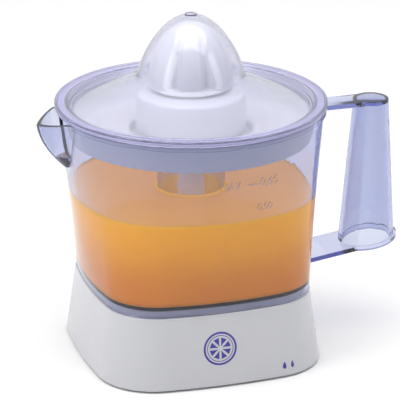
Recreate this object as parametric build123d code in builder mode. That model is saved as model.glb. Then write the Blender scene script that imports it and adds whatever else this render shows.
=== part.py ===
"""Citrus press: a geared motor base, a clear jug, a slotted strainer, a ribbed cone and a clear domed lid.

Frame: the drive spindle's axis is Z, z = 0 is the worktop, +X points to the jug's handle, -X to its
spout, and -Y to the front of the base. All sizes are in millimetres.
"""

import math
import os

from build123d import *

os.makedirs("parts", exist_ok=True)

# ---------------------------------------------------------------- clearances
TOUCH_GAP = 0.3  # between loose pieces that don't rub
RUN_GAP = 0.05  # radial, between a shaft and its bush
HEX_GAP = 0.15  # across one flat, between a hexagonal drive and its socket
SEAT_GAP = 0.2  # between the jug's foot and the ledge that carries it

# ---------------------------------------------------------------- base housing
FOOT_LIFT = 1.0  # the housing's lower edge stands this far above the worktop
BASE_LEDGE_Z = 37.2  # the ledge that the jug stands on
BASE_FLARE = 4.4  # how much wider the lower edge is on each side than the ledge
BASE_FOOT_BOW = 292.0  # radius of the bowed sides at the lower edge
BASE_FOOT_CORNER = 29.8
BASE_TOP_HALF = 54.9  # half the width across the ledge
BASE_TOP_BOW = 227.0
BASE_TOP_CORNER = 27.7
BASE_WALL = 2.4
PLATEAU_RISE = 3.2  # the deck inside the jug's foot stands this far above the ledge
TOWER_RISE = 21.5  # height of the spindle tower above the plateau
TOWER_WALL = 4.1
DECK_GAP = 0.9  # between the raised deck and the jug's foot skirt, all round

# ---------------------------------------------------------------- jug
JUG_WALL = 2.0
JUG_FLOOR_RISE = 6.0  # from the foot to the inside floor
JUG_FLOOR_THICK = 2.2
JUG_HEIGHT = 91.0
JUG_SET_IN = 0.3  # the jug's foot is this much narrower than the ledge, on each side
JUG_FOOT_BOW = 205.0
JUG_FOOT_CORNER = 26.5
JUG_TOP_RADIUS = 66.9
SEAM_BEARING = 30.0  # degrees either side of an axis at which a side of the jug meets a corner
RIM_BEAD = 0.9  # how far the rim bead stands out of the wall
RIM_BEAD_HEIGHT = 2.0
CHIMNEY_FOOT_RADIUS = 18.6
CHIMNEY_TOP_RADIUS = 16.6
CHIMNEY_WALL = 1.8

SPOUT_HALF_ANGLE = 13.4  # degrees, from the spout's middle to each root on the rim
SPOUT_REACH = 12.7  # from the rim to the tip
SPOUT_TIP_DROP = 4.0  # the tip lies this far below the rim
SPOUT_DEPTH = 28.0  # from the rim down to where the ridge meets the wall
SPOUT_WALL = 1.8
SPOUT_TIP_RADIUS = 3.0

STRAP_THICK = 2.4
TOP_STRAP_WIDTH = 14.0
TOP_STRAP_DROP = 5.8  # from the rim to the strap's upper face
LOW_STRAP_WIDTH = 25.0
LOW_STRAP_RISE = 3.2  # from the jug's foot to the strap's lower face where it leaves the wall
LOW_STRAP_SLOPE = 0.14
GRIP_RISE = 8.0  # from the jug's foot to the grip's lower end
GRIP_REACH = 29.0  # from the rim to the grip's middle at its top
GRIP_LEAN = 1.1  # the grip's lower end lies this much further in
GRIP_TOP_RADIUS = 9.0
GRIP_LOW_RADIUS = 14.6
GRIP_WALL = 2.0
GRIP_FLANGE = 1.0  # the lower strap stands proud of the grip by this much

# ---------------------------------------------------------------- strainer
STRAINER_WALL = 1.5
STRAINER_LIP_THICK = 1.3
STRAINER_LIP_SET_IN = 0.8  # from the jug's rim to the lip's edge
STRAINER_DRAFT = 6.9  # from the jug's rim in to the basket's foot
STRAINER_DEPTH = 13.2  # from the jug's rim down to the slotted floor
STRAINER_WELL_DEPTH = 3.2  # the well that the cone's skirt turns in
STRAINER_WELL_GAP = 3.3  # between the cone's skirt and the well's wall
STRAINER_BORE_GAP = 1.35  # between the spindle and the collar
STRAINER_COLLAR_HEIGHT = 5.6
LOCATING_RING_DEPTH = 5.0
SLOT_COUNT = 40
SLOT_WIDTH = 1.3
SLOT_MARGIN = 3.0  # from the well to the slots
SLOT_OUTER_RADIUS = 50.0

# ---------------------------------------------------------------- reamer cone
CONE_RISE = 13.1  # from the jug's rim to the top of the cone's flange
CONE_HEIGHT = 29.5  # from the flange to the apex
CONE_RADIUS = 21.0
CONE_RIB_DEPTH = 2.6
CONE_NECK_DEPTH = 4.0  # from the flange's edge in to the neck under it
CONE_RIB_COUNT = 8
CONE_RIB_ANGLE = 33.0
CONE_TIP_FLAT = 0.25  # taken off the apex, which leaves a small moulded flat
CONE_FLANGE_THICK = 3.3
CONE_SHOULDER_WIDTH = 5.8  # the shoulder stands out of the flange by this much
CONE_SHOULDER_DROP = 6.9  # from the flange's top to the shoulder
CONE_SKIRT_FLARE = 0.9  # from the shoulder out to the skirt's foot
CONE_SKIRT_GAP = 3.4  # between the skirt's foot and the well's floor
CONE_WALL = 1.9
CONE_HUB_WALL = 3.6  # from a flat of the drive hexagon to the hub's outside
CONE_SOCKET_DROP = 11.0  # from the spindle's top down to the hub's lower end
CONE_HUB_RISE = 22.0  # from the flange's top up to the hub's upper end

# ---------------------------------------------------------------- lid
LID_OVERHANG = 1.1  # the lid's ring reaches this far past the jug's rim
LID_WALL = 1.5
LID_RING_THICK = 1.4
LID_WELL_DEPTH = 4.2  # from the ring's top down to where the brim starts
LID_WELL_DRAFT = 0.8
LID_BRIM_GAP = 5.2  # between the cone's shoulder and the brim's inner edge, in plan
LID_BRIM_DROP = 1.3  # the brim's inner edge lies this far below the cone's flange
LID_DOME_GAP = 5.5  # between the cone and the dome's outside
LID_DOME_LIFT = 4.5  # from the cone's flange up to the dome's foot
LID_APEX_GAP = 3.9  # from the cone's apex up to the dome's
LID_DOME_POWER = 1.2  # 2 would be an ellipse; less is more pointed
LID_NUB_RADIUS = 2.2
LID_NUB_HEIGHT = 0.4

# ---------------------------------------------------------------- drive
GEAR_MODULE = 0.8
PRESSURE_ANGLE = 20.0
BACKLASH = 0.14  # taken off each tooth, as a share of its thickness
OUTPUT_TEETH = 60
IDLER_SMALL_TEETH = 12
IDLER_LARGE_TEETH = 50
PINION_TEETH = 10
IDLER_BEARING = 43.9  # degrees, from the spindle to the idler's axle
ROTOR_BEARING = 150.0  # degrees, from the idler's axle to the rotor's shaft
OUTPUT_GEAR_Z = 28.0
OUTPUT_GEAR_FACE = 5.0
IDLER_LARGE_Z = 23.0
IDLER_LARGE_FACE = 4.0
IDLER_SMALL_TOP_Z = 33.4
PINION_Z = 22.8
PINION_FACE = 4.6
GEAR_HUB_RADIUS = 9.0

PRESS_TRAVEL = 2.5
SPINDLE_RADIUS = 6.85
SPINDLE_STEM_RADIUS = 5.0
SPINDLE_PIN_RADIUS = 3.0
SPINDLE_PIN_LOW_Z = 7.0
SPINDLE_HEX_RISE = 3.6  # from the jug's rim up to the spindle's top
SPINDLE_HEX_LENGTH = 21.0
SPINDLE_DRIVE_HEX = 12.0  # across the flats, in the cone
SPINDLE_GEAR_HEX = 10.8  # across the flats, in the output gear
BUSH_LENGTH = 9.0
SEAL_THICK = 2.4
SEAL_RADIUS = 12.2
CLIP_RADIUS = 7.2
CLIP_THICK = 0.8
CLIP_GROOVE_DEPTH = 0.8
SPRING_RADIUS = 4.6
SPRING_WIRE = 0.8
SPRING_TURNS = 4.5

# ---------------------------------------------------------------- motor
STACK_LOW_Z = 8.0
STACK_HEIGHT = 12.0
STACK_LEFT_X = -38.0
STACK_RIGHT_X = 12.0
STACK_HALF_WIDTH = 13.0
STACK_SLOT_HALF = 5.0
STACK_SLOT_END = 7.0  # from the yoke's outer face to the slot
ROTOR_BORE = 10.5
ROTOR_RADIUS = 9.6
ROTOR_SHAFT_RADIUS = 1.5
BUSH_WALL = 2.4
COIL_LOW_X = -29.0
COIL_HIGH_X = -12.5
BOBBIN_WALL = 0.8
COIL_THICK = 2.3
FRAME_THICK = 2.0
FRAME_HEAD_THICK = 1.4
BRACKET_THICK = 2.2
MAGNET_GAP = 0.5
POST_RADIUS = 3.6
SCREW_RADIUS = 1.4
SCREW_HEAD_RADIUS = 2.7
SCREW_HEAD_THICK = 1.7
AXLE_RADIUS = 1.5

# ---------------------------------------------------------------- bottom cover
COVER_THICK = 2.0
COVER_LOW_Z = 1.6
COVER_EDGE_GAP = 0.25
VENT_COUNT = 7
VENT_PITCH = 5.0
VENT_LENGTH = 26.0
VENT_WIDTH = 2.0
FOOT_SET_IN = 19.3  # from the housing's side to a foot's middle
FOOT_RADIUS = 6.5
FOOT_STEM_RADIUS = 2.5
COVER_SCREW_SET_IN = 9.8  # from the housing's side to a screw
BEARING_HEIGHT = 8.0  # of the cover's boss that carries the spindle's foot pin
GLAND_X = 30.0
GLAND_Z = 13.0
GLAND_RADIUS = 4.4
GLAND_BORE_RADIUS = 2.2

# ---------------------------------------------------------------- worked out from the sizes above
PLATEAU_Z = BASE_LEDGE_Z + PLATEAU_RISE
TOWER_TOP_Z = PLATEAU_Z + TOWER_RISE
TOWER_BORE = GEAR_HUB_RADIUS + RUN_GAP
BASE_FOOT_HALF = BASE_TOP_HALF + BASE_FLARE
FOOT_SPREAD = BASE_FOOT_HALF - FOOT_SET_IN
COVER_SCREW_CIRCLE = BASE_FOOT_HALF - COVER_SCREW_SET_IN
JUG_FOOT_Z = BASE_LEDGE_Z + SEAT_GAP
JUG_FOOT_HALF = BASE_TOP_HALF - JUG_SET_IN
JUG_FLOOR_Z = JUG_FOOT_Z + JUG_FLOOR_RISE
JUG_TOP_Z = JUG_FOOT_Z + JUG_HEIGHT
SPOUT_TIP_X = -JUG_TOP_RADIUS - SPOUT_REACH
TOP_STRAP_Z = JUG_TOP_Z - TOP_STRAP_DROP
LOW_STRAP_JUG_Z = JUG_FOOT_Z + LOW_STRAP_RISE
LOW_STRAP_GRIP_Z = JUG_FOOT_Z + GRIP_RISE
GRIP_TOP_X = JUG_TOP_RADIUS + GRIP_REACH
GRIP_LOW_X = GRIP_TOP_X - GRIP_LEAN
CONE_CORE_RADIUS = CONE_RADIUS - CONE_RIB_DEPTH
CONE_SHOULDER_RADIUS = CONE_RADIUS + CONE_SHOULDER_WIDTH
CONE_SKIRT_RADIUS = CONE_SHOULDER_RADIUS + CONE_SKIRT_FLARE
CONE_HUB_RADIUS = SPINDLE_DRIVE_HEX / 2 + CONE_HUB_WALL
CONE_BASE_Z = JUG_TOP_Z + CONE_RISE
CONE_APEX_Z = CONE_BASE_Z + CONE_HEIGHT
CONE_SHOULDER_Z = CONE_BASE_Z - CONE_SHOULDER_DROP
STRAINER_LIP_RADIUS = JUG_TOP_RADIUS - STRAINER_LIP_SET_IN
STRAINER_LOW_RADIUS = JUG_TOP_RADIUS - STRAINER_DRAFT
STRAINER_FLOOR_Z = JUG_TOP_Z - STRAINER_DEPTH
STRAINER_RECESS_Z = STRAINER_FLOOR_Z - STRAINER_WELL_DEPTH
STRAINER_WELL_RADIUS = CONE_SKIRT_RADIUS + STRAINER_WELL_GAP
STRAINER_BORE_RADIUS = SPINDLE_RADIUS + STRAINER_BORE_GAP
STRAINER_COLLAR_TOP_Z = STRAINER_RECESS_Z + STRAINER_COLLAR_HEIGHT
SLOT_INNER_RADIUS = STRAINER_WELL_RADIUS + SLOT_MARGIN
CONE_SKIRT_Z = STRAINER_RECESS_Z + CONE_SKIRT_GAP
SPINDLE_HEX_TOP_Z = JUG_TOP_Z + SPINDLE_HEX_RISE
SPINDLE_HEX_LOW_Z = SPINDLE_HEX_TOP_Z - SPINDLE_HEX_LENGTH
CONE_HUB_LOW_Z = SPINDLE_HEX_TOP_Z - CONE_SOCKET_DROP
LID_RADIUS = JUG_TOP_RADIUS + LID_OVERHANG
LID_BRIM_INNER_RADIUS = CONE_SHOULDER_RADIUS + LID_BRIM_GAP
LID_BRIM_INNER_Z = CONE_BASE_Z - LID_BRIM_DROP
LID_DOME_RADIUS = CONE_RADIUS + LID_DOME_GAP
LID_DOME_LOW_Z = CONE_BASE_Z + LID_DOME_LIFT
LID_APEX_Z = CONE_APEX_Z + LID_APEX_GAP
COVER_TOP_Z = COVER_LOW_Z + COVER_THICK
STACK_TOP_Z = STACK_LOW_Z + STACK_HEIGHT
FRAME_TOP_Z = STACK_TOP_Z + FRAME_THICK
OUTPUT_PITCH = GEAR_MODULE * OUTPUT_TEETH / 2
IDLER_SMALL_PITCH = GEAR_MODULE * IDLER_SMALL_TEETH / 2
IDLER_LARGE_PITCH = GEAR_MODULE * IDLER_LARGE_TEETH / 2
PINION_PITCH = GEAR_MODULE * PINION_TEETH / 2
IDLER_DISTANCE = OUTPUT_PITCH + IDLER_SMALL_PITCH
ROTOR_DISTANCE = IDLER_LARGE_PITCH + PINION_PITCH
IDLER_X = IDLER_DISTANCE * math.cos(math.radians(IDLER_BEARING))
IDLER_Y = IDLER_DISTANCE * math.sin(math.radians(IDLER_BEARING))
ROTOR_X = IDLER_X + ROTOR_DISTANCE * math.cos(math.radians(ROTOR_BEARING))
ROTOR_Y = IDLER_Y + ROTOR_DISTANCE * math.sin(math.radians(ROTOR_BEARING))
LID_LOW_Z = JUG_TOP_Z + TOUCH_GAP
LIP_TOP_Z = JUG_TOP_Z + STRAINER_LIP_THICK
LID_TOP_Z = LIP_TOP_Z + TOUCH_GAP + LID_RING_THICK
STRAINER_TOP_RADIUS = JUG_TOP_RADIUS - JUG_WALL - 0.4
LID_WELL_RADIUS = STRAINER_TOP_RADIUS - STRAINER_WALL - 0.4 - LID_WALL


def share(low, high, height):
    """How far a height lies between two others, as a share of their distance."""
    return (height - low) / (high - low)


def bowed_square(height, half, bow, corner):
    """A square with bowed sides and round corners, tangent to each other, on a level plane.

    The side arcs are centred on the axes at half - bow, and the corner arcs on the diagonals.
    """
    side_centre = bow - half
    reach = bow - corner
    diagonal = (math.sqrt(2 * reach**2 - side_centre**2) - side_centre) / 2
    turn = math.degrees(math.atan2(diagonal, diagonal + side_centre))
    with BuildSketch(Plane.XY.offset(height)) as outline:
        with BuildLine():
            for quarter in range(4):
                spin = 90.0 * quarter
                side = Vector(-side_centre, 0).rotate(Axis.Z, spin)
                along = Vector(diagonal, diagonal).rotate(Axis.Z, spin)
                CenterArc(side, bow, spin - turn, 2 * turn)
                CenterArc(along, corner, spin + turn, 90.0 - 2 * turn)
        make_face()
    return outline.sketch


def split_circle(height, radius):
    """A circle cut into the same eight arcs as a bowed square, so that a loft keeps its seams."""
    with BuildSketch(Plane.XY.offset(height)) as outline:
        with BuildLine():
            for quarter in range(4):
                CenterArc((0, 0), radius, 90.0 * quarter - SEAM_BEARING, 2 * SEAM_BEARING)
                CenterArc((0, 0), radius, 90.0 * quarter + SEAM_BEARING, 90.0 - 2 * SEAM_BEARING)
        make_face()
    return outline.sketch


def base_outline(height, inset):
    """The housing's outline at a height, drawn in by a wall."""
    up = share(FOOT_LIFT, BASE_LEDGE_Z, height)
    half = BASE_FOOT_HALF + (BASE_TOP_HALF - BASE_FOOT_HALF) * up
    bow = BASE_FOOT_BOW + (BASE_TOP_BOW - BASE_FOOT_BOW) * up
    corner = BASE_FOOT_CORNER + (BASE_TOP_CORNER - BASE_FOOT_CORNER) * up
    return bowed_square(height, half - inset, bow - inset, corner - inset)


def jug_solid(low, high, inset):
    """The jug's straight-sided body between two heights, drawn in by a wall.

    It is the ruled solid from the bowed square at the foot to the circle at the rim, cut to height.
    """
    with BuildPart() as body:
        loft([
            bowed_square(JUG_FOOT_Z, JUG_FOOT_HALF - inset, JUG_FOOT_BOW - inset, JUG_FOOT_CORNER - inset),
            split_circle(JUG_TOP_Z, JUG_TOP_RADIUS - inset),
        ], ruled=True)
        if low > JUG_FOOT_Z:
            split(bisect_by=Plane.XY.offset(low), keep=Keep.TOP)
        if high < JUG_TOP_Z:
            split(bisect_by=Plane.XY.offset(high), keep=Keep.BOTTOM)
    return body.part


def ring(low, high, inner, outer):
    """A plain ring about Z."""
    with BuildPart() as tube:
        with BuildSketch(Plane.XY.offset(low)):
            Circle(outer)
            Circle(inner, mode=Mode.SUBTRACT)
        extrude(amount=high - low)
    return tube.part


def gear_outline(teeth, height, phase, centre=(0.0, 0.0)):
    """An involute gear's outline with one tooth centred on the angle phase, in degrees.

    Each flank is drawn through four points of the involute, between the root and the tip.
    """
    pitch = GEAR_MODULE * teeth / 2
    base = pitch * math.cos(math.radians(PRESSURE_ANGLE))
    root = pitch - 1.2 * GEAR_MODULE
    tip = pitch + 0.9 * GEAR_MODULE
    start = max(base, root)

    def involute(radius):
        pressure = math.acos(min(1.0, base / radius))
        return math.tan(pressure) - pressure

    def half_angle(radius):
        at_pitch = math.pi / (2 * teeth) * (1 - BACKLASH)
        return at_pitch + involute(pitch) - involute(radius)

    flank = [start + (tip - start) * step / 3 for step in range(4)]
    points = []
    for tooth in range(teeth):
        middle = math.radians(phase) + 2 * math.pi * tooth / teeth
        side = [(root, -half_angle(start))] + [(radius, -half_angle(radius)) for radius in flank]
        if start == root:
            side = side[1:]
        for radius, angle in side + [(radius, -angle) for radius, angle in reversed(side)]:
            across = centre[0] + radius * math.cos(middle + angle)
            along = centre[1] + radius * math.sin(middle + angle)
            points.append((across, along))
    with BuildSketch(Plane.XY.offset(height)) as outline:
        with BuildLine():
            Polyline(*points, close=True)
        make_face()
    return outline.sketch


# ================================================================ base
# Housing: a flared shell with a ledge for the jug, a raised deck, a spindle tower and screw posts.
cover_screw_spots = PolarLocations(COVER_SCREW_CIRCLE, 4)
with BuildPart() as base_housing:
    loft([base_outline(FOOT_LIFT, 0), base_outline(BASE_LEDGE_Z, 0)], ruled=True)
    rim_edges = base_housing.edges().group_by(Axis.Z)[-1]
    fillet(rim_edges, 0.8)
    plateau_half = JUG_FOOT_HALF - JUG_WALL - DECK_GAP
    add(extrude(bowed_square(BASE_LEDGE_Z - 1, plateau_half, JUG_FOOT_BOW, JUG_FOOT_CORNER - JUG_WALL),
                amount=PLATEAU_RISE + 1, mode=Mode.PRIVATE))
    loft([base_outline(FOOT_LIFT, BASE_WALL), base_outline(BASE_LEDGE_Z - BASE_WALL, BASE_WALL)],
         ruled=True, mode=Mode.SUBTRACT)
    add(extrude(bowed_square(BASE_LEDGE_Z - 2 * BASE_WALL, plateau_half - BASE_WALL, JUG_FOOT_BOW,
                             JUG_FOOT_CORNER - JUG_WALL - BASE_WALL),
                amount=PLATEAU_RISE + BASE_WALL, mode=Mode.PRIVATE), mode=Mode.SUBTRACT)
    with BuildSketch(Plane.XY.offset(PLATEAU_Z - 0.1)):
        Circle(TOWER_BORE + TOWER_WALL)
    extrude(amount=TOWER_RISE + 0.1)
    with BuildSketch(Plane.XY.offset(OUTPUT_GEAR_Z + OUTPUT_GEAR_FACE + 1.2)):
        Circle(TOWER_BORE + 2.6)
    extrude(until=Until.NEXT)
    with BuildSketch(Plane.XY.offset(COVER_TOP_Z)):
        with cover_screw_spots:
            Circle(POST_RADIUS)
    extrude(amount=BASE_LEDGE_Z - BASE_WALL / 2 - COVER_TOP_Z)
    with BuildSketch(Plane.XY):
        Circle(TOWER_BORE)
    extrude(amount=TOWER_TOP_Z + 1, mode=Mode.SUBTRACT)
    with BuildSketch(Plane.XY):
        with cover_screw_spots:
            Circle(SCREW_RADIUS)
    extrude(amount=COVER_TOP_Z + 9.0, mode=Mode.SUBTRACT)
    with BuildSketch(Plane.XZ.offset(-BASE_FOOT_HALF - 2)):
        with Locations((GLAND_X, GLAND_Z)):
            Circle(GLAND_RADIUS)
    extrude(amount=16.0, mode=Mode.SUBTRACT)
base_housing.part.label = "base_housing"
export_step(base_housing.part, "parts/base_housing.step")

# Bottom cover: closes the housing from below and carries the motor posts and the spindle's foot bearing.
post_spots = [(34.0, -4.0), (33.0, 41.0), (-8.0, 9.0)]
with BuildPart() as bottom_cover:
    extrude(base_outline(COVER_LOW_Z, BASE_WALL + COVER_EDGE_GAP + 0.3), amount=COVER_THICK)
    with BuildSketch(Plane.XY.offset(COVER_TOP_Z)):
        with Locations(*post_spots):
            Circle(POST_RADIUS)
    extrude(amount=STACK_TOP_Z - COVER_TOP_Z)
    with BuildSketch(Plane.XY.offset(STACK_TOP_Z - 8.0)):
        with Locations(*post_spots):
            Circle(SCREW_RADIUS)
    extrude(amount=8.0, mode=Mode.SUBTRACT)
    with BuildSketch(Plane.XY.offset(COVER_TOP_Z)):
        Circle(SPINDLE_PIN_RADIUS + 3.0)
    extrude(amount=BEARING_HEIGHT)
    with BuildSketch(Plane.XY.offset(COVER_TOP_Z)):
        Circle(SPINDLE_PIN_RADIUS + RUN_GAP)
    extrude(amount=BEARING_HEIGHT, mode=Mode.SUBTRACT)
    with BuildSketch(Plane.XY.offset(COVER_LOW_Z)):
        with Locations((0, -32.0)):
            with GridLocations(VENT_PITCH, 0, VENT_COUNT, 1):
                SlotOverall(VENT_LENGTH, VENT_WIDTH, rotation=90)
    extrude(amount=COVER_THICK, mode=Mode.SUBTRACT)
    with BuildSketch(Plane.XY.offset(COVER_LOW_Z)):
        with cover_screw_spots:
            Circle(SCREW_RADIUS + 0.2)
        with GridLocations(2 * FOOT_SPREAD, 2 * FOOT_SPREAD, 2, 2):
            Circle(FOOT_STEM_RADIUS)
    extrude(amount=COVER_THICK, mode=Mode.SUBTRACT)
bottom_cover.part.label = "bottom_cover"
export_step(bottom_cover.part, "parts/bottom_cover.step")

# Four rubber feet, each with a stem pressed through the cover.
foot_signs = [(-1, -1), (1, -1), (1, 1), (-1, 1)]
for number, (side, along) in enumerate(foot_signs, start=1):
    with BuildPart() as rubber_foot:
        with BuildSketch(Plane.XY):
            with Locations((side * FOOT_SPREAD, along * FOOT_SPREAD)):
                Circle(FOOT_RADIUS)
        extrude(amount=COVER_LOW_Z)
        fillet(rubber_foot.edges().group_by(Axis.Z)[0], 0.5)
        with BuildSketch(Plane.XY.offset(COVER_LOW_Z)):
            with Locations((side * FOOT_SPREAD, along * FOOT_SPREAD)):
                Circle(FOOT_STEM_RADIUS)
        extrude(amount=COVER_THICK + 1.0)
    rubber_foot.part.label = f"rubber_foot_{number}"
    export_step(rubber_foot.part, f"parts/rubber_foot_{number}.step")

# Cover screws: heads under the cover, shanks up into the housing's posts.
with BuildPart() as cover_screws:
    with BuildSketch(Plane.XY.offset(COVER_LOW_Z - 1.2)):
        with cover_screw_spots:
            Circle(SCREW_HEAD_RADIUS)
    extrude(amount=1.2)
    with BuildSketch(Plane.XY.offset(COVER_LOW_Z)):
        with cover_screw_spots:
            Circle(SCREW_RADIUS)
    extrude(amount=COVER_THICK + 8.0)
    with BuildSketch(Plane.XY.offset(COVER_LOW_Z - 1.2)):
        with cover_screw_spots:
            Rectangle(3.2, 0.7)
            Rectangle(0.7, 3.2)
    extrude(amount=0.8, mode=Mode.SUBTRACT)
cover_screws.part.label = "cover_screws"
export_step(cover_screws.part, "parts/cover_screws.step")

# Cord inlet: a grommet in the rear wall; the wall slopes, so the flange stands just outside it.
wall_y = BASE_FOOT_HALF + (BASE_TOP_HALF - BASE_FOOT_HALF) * share(FOOT_LIFT, BASE_LEDGE_Z, GLAND_Z)
with BuildPart() as cord_gland:
    with BuildSketch(Plane.XZ.offset(-wall_y - 0.6)):
        with Locations((GLAND_X, GLAND_Z)):
            Circle(GLAND_RADIUS - 0.1)
    extrude(amount=9.0)
    with BuildSketch(Plane.XZ.offset(-wall_y + 5.6)):
        with Locations((GLAND_X, GLAND_Z)):
            Circle(GLAND_RADIUS + 1.6)
    extrude(amount=2.0)
    with BuildSketch(Plane.XZ.offset(-wall_y - 1)):
        with Locations((GLAND_X, GLAND_Z)):
            Circle(GLAND_BORE_RADIUS)
    extrude(amount=12.0, mode=Mode.SUBTRACT)
cord_gland.part.label = "cord_gland"
export_step(cord_gland.part, "parts/cord_gland.step")

# ================================================================ motor
# Stator: a U-shaped stack of laminations round the rotor's bore, slit at its open end.
with BuildPart() as stator_stack:
    with BuildSketch(Plane.XY.offset(STACK_LOW_Z)):
        with Locations(((STACK_LEFT_X + STACK_RIGHT_X) / 2 + ROTOR_X, ROTOR_Y)):
            Rectangle(STACK_RIGHT_X - STACK_LEFT_X, 2 * STACK_HALF_WIDTH)
        slot_left = STACK_LEFT_X + STACK_SLOT_END
        with Locations((slot_left / 2 + ROTOR_X, ROTOR_Y)):
            Rectangle(-slot_left, 2 * STACK_SLOT_HALF, mode=Mode.SUBTRACT)
        with Locations((ROTOR_X, ROTOR_Y)):
            Circle(ROTOR_BORE, mode=Mode.SUBTRACT)
        with Locations((STACK_RIGHT_X + ROTOR_X, ROTOR_Y)):
            Rectangle(8.0, 1.6, mode=Mode.SUBTRACT)
    extrude(amount=STACK_HEIGHT)
    fillet(stator_stack.edges().filter_by(Axis.Z).sort_by(Axis.X)[:2], 3.0)
    motor_screw_spots = [(ROTOR_X + 9.4, ROTOR_Y - 10.4), (ROTOR_X + 9.4, ROTOR_Y + 10.4)]
    with BuildSketch(Plane.XY.offset(STACK_LOW_Z)):
        with Locations(*motor_screw_spots):
            Circle(SCREW_RADIUS + 0.1)
    extrude(amount=STACK_HEIGHT, mode=Mode.SUBTRACT)
stator_stack.part.label = "stator_stack"
export_step(stator_stack.part, "parts/stator_stack.step")

# Two bobbins on the stator's legs, each with a copper winding between its cheeks.
leg_middle = (STACK_HALF_WIDTH + STACK_SLOT_HALF) / 2
leg_width = STACK_HALF_WIDTH - STACK_SLOT_HALF
coil_length = COIL_HIGH_X - COIL_LOW_X
for number, side in enumerate((-1, 1), start=1):
    coil_plane = Plane.YZ.offset(ROTOR_X + COIL_LOW_X)
    leg_spot = (ROTOR_Y + side * leg_middle, STACK_LOW_Z + STACK_HEIGHT / 2)
    tube_wide = leg_width + 2 * BOBBIN_WALL + 0.2
    tube_high = STACK_HEIGHT + 2 * BOBBIN_WALL + 0.2
    with BuildPart() as coil_bobbin:
        with BuildSketch(coil_plane):
            with Locations(leg_spot):
                Rectangle(tube_wide, tube_high)
        extrude(amount=coil_length)
        for cheek in (0, coil_length - BOBBIN_WALL):
            with BuildSketch(coil_plane.offset(cheek)):
                with Locations(leg_spot):
                    RectangleRounded(leg_width + 2 * COIL_THICK + 1, STACK_HEIGHT + 2 * COIL_THICK + 1, 1.0)
            extrude(amount=BOBBIN_WALL)
        with BuildSketch(coil_plane):
            with Locations(leg_spot):
                Rectangle(leg_width + 0.2, STACK_HEIGHT + 0.2)
        extrude(amount=coil_length, mode=Mode.SUBTRACT)
    coil_bobbin.part.label = f"coil_bobbin_{number}"
    export_step(coil_bobbin.part, f"parts/coil_bobbin_{number}.step")
    with BuildPart() as coil_winding:
        with BuildSketch(coil_plane.offset(BOBBIN_WALL)):
            with Locations(leg_spot):
                RectangleRounded(leg_width + 2 * COIL_THICK, STACK_HEIGHT + 2 * COIL_THICK, 1.2)
                Rectangle(tube_wide, tube_high, mode=Mode.SUBTRACT)
        extrude(amount=coil_length - 2 * BOBBIN_WALL)
    coil_winding.part.label = f"coil_winding_{number}"
    export_step(coil_winding.part, f"parts/coil_winding_{number}.step")

# Gear frame: the plate over the stator that carries the rotor's upper bush and the idler's axle.
with BuildPart() as gear_frame:
    with BuildSketch(Plane.XY.offset(STACK_TOP_Z)):
        with Locations((14.5, 17.8)):
            RectangleRounded(53.0, 55.0, 4.0)
        with Locations((ROTOR_X, ROTOR_Y)):
            Circle(ROTOR_SHAFT_RADIUS + RUN_GAP + BUSH_WALL, mode=Mode.SUBTRACT)
        with Locations((IDLER_X, IDLER_Y)):
            Circle(AXLE_RADIUS, mode=Mode.SUBTRACT)
        Circle(SPINDLE_STEM_RADIUS + 1.6 + RUN_GAP, mode=Mode.SUBTRACT)
        with Locations(*post_spots, *motor_screw_spots):
            Circle(SCREW_RADIUS + 0.1, mode=Mode.SUBTRACT)
    extrude(amount=FRAME_THICK)
gear_frame.part.label = "gear_frame"
export_step(gear_frame.part, "parts/gear_frame.step")

# Rotor bracket: a small plate under the stator with the rotor's lower bush.
with BuildPart() as rotor_bracket:
    with BuildSketch(Plane.XY.offset(STACK_LOW_Z - BRACKET_THICK)):
        with Locations((ROTOR_X + 1.5, ROTOR_Y)):
            RectangleRounded(21.0, 26.0, 2.0)
        with Locations((ROTOR_X, ROTOR_Y)):
            Circle(ROTOR_SHAFT_RADIUS + RUN_GAP + BUSH_WALL, mode=Mode.SUBTRACT)
        with Locations(*motor_screw_spots):
            Circle(SCREW_RADIUS + 0.1, mode=Mode.SUBTRACT)
    extrude(amount=BRACKET_THICK)
rotor_bracket.part.label = "rotor_bracket"
export_step(rotor_bracket.part, "parts/rotor_bracket.step")

# Rotor bushes in the frame and the bracket.
bush_places = {"rotor_bush_upper": (STACK_TOP_Z, FRAME_THICK),
               "rotor_bush_lower": (STACK_LOW_Z - BRACKET_THICK, BRACKET_THICK)}
for name, (low, length) in bush_places.items():
    with BuildPart() as rotor_bush:
        with BuildSketch(Plane.XY.offset(low)):
            with Locations((ROTOR_X, ROTOR_Y)):
                Circle(ROTOR_SHAFT_RADIUS + RUN_GAP + BUSH_WALL)
                Circle(ROTOR_SHAFT_RADIUS + RUN_GAP, mode=Mode.SUBTRACT)
        extrude(amount=length)
    rotor_bush.part.label = name
    export_step(rotor_bush.part, f"parts/{name}.step")

# Rotor: a permanent magnet and a pinion, both pressed on one steel shaft.
with BuildPart() as rotor_magnet:
    with BuildSketch(Plane.XY.offset(STACK_LOW_Z + MAGNET_GAP)):
        with Locations((ROTOR_X, ROTOR_Y)):
            Circle(ROTOR_RADIUS)
            Circle(ROTOR_SHAFT_RADIUS, mode=Mode.SUBTRACT)
    extrude(amount=STACK_HEIGHT - 2 * MAGNET_GAP)
rotor_magnet.part.label = "rotor_magnet"
export_step(rotor_magnet.part, "parts/rotor_magnet.step")

with BuildPart() as rotor_shaft:
    with BuildSketch(Plane.XY.offset(STACK_LOW_Z - BRACKET_THICK - 0.8)):
        with Locations((ROTOR_X, ROTOR_Y)):
            Circle(ROTOR_SHAFT_RADIUS)
    extrude(amount=PINION_Z + PINION_FACE + 0.6 - (STACK_LOW_Z - BRACKET_THICK - 0.8))
    chamfer(rotor_shaft.edges().filter_by(GeomType.CIRCLE), 0.2)
rotor_shaft.part.label = "rotor_shaft"
export_step(rotor_shaft.part, "parts/rotor_shaft.step")

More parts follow.
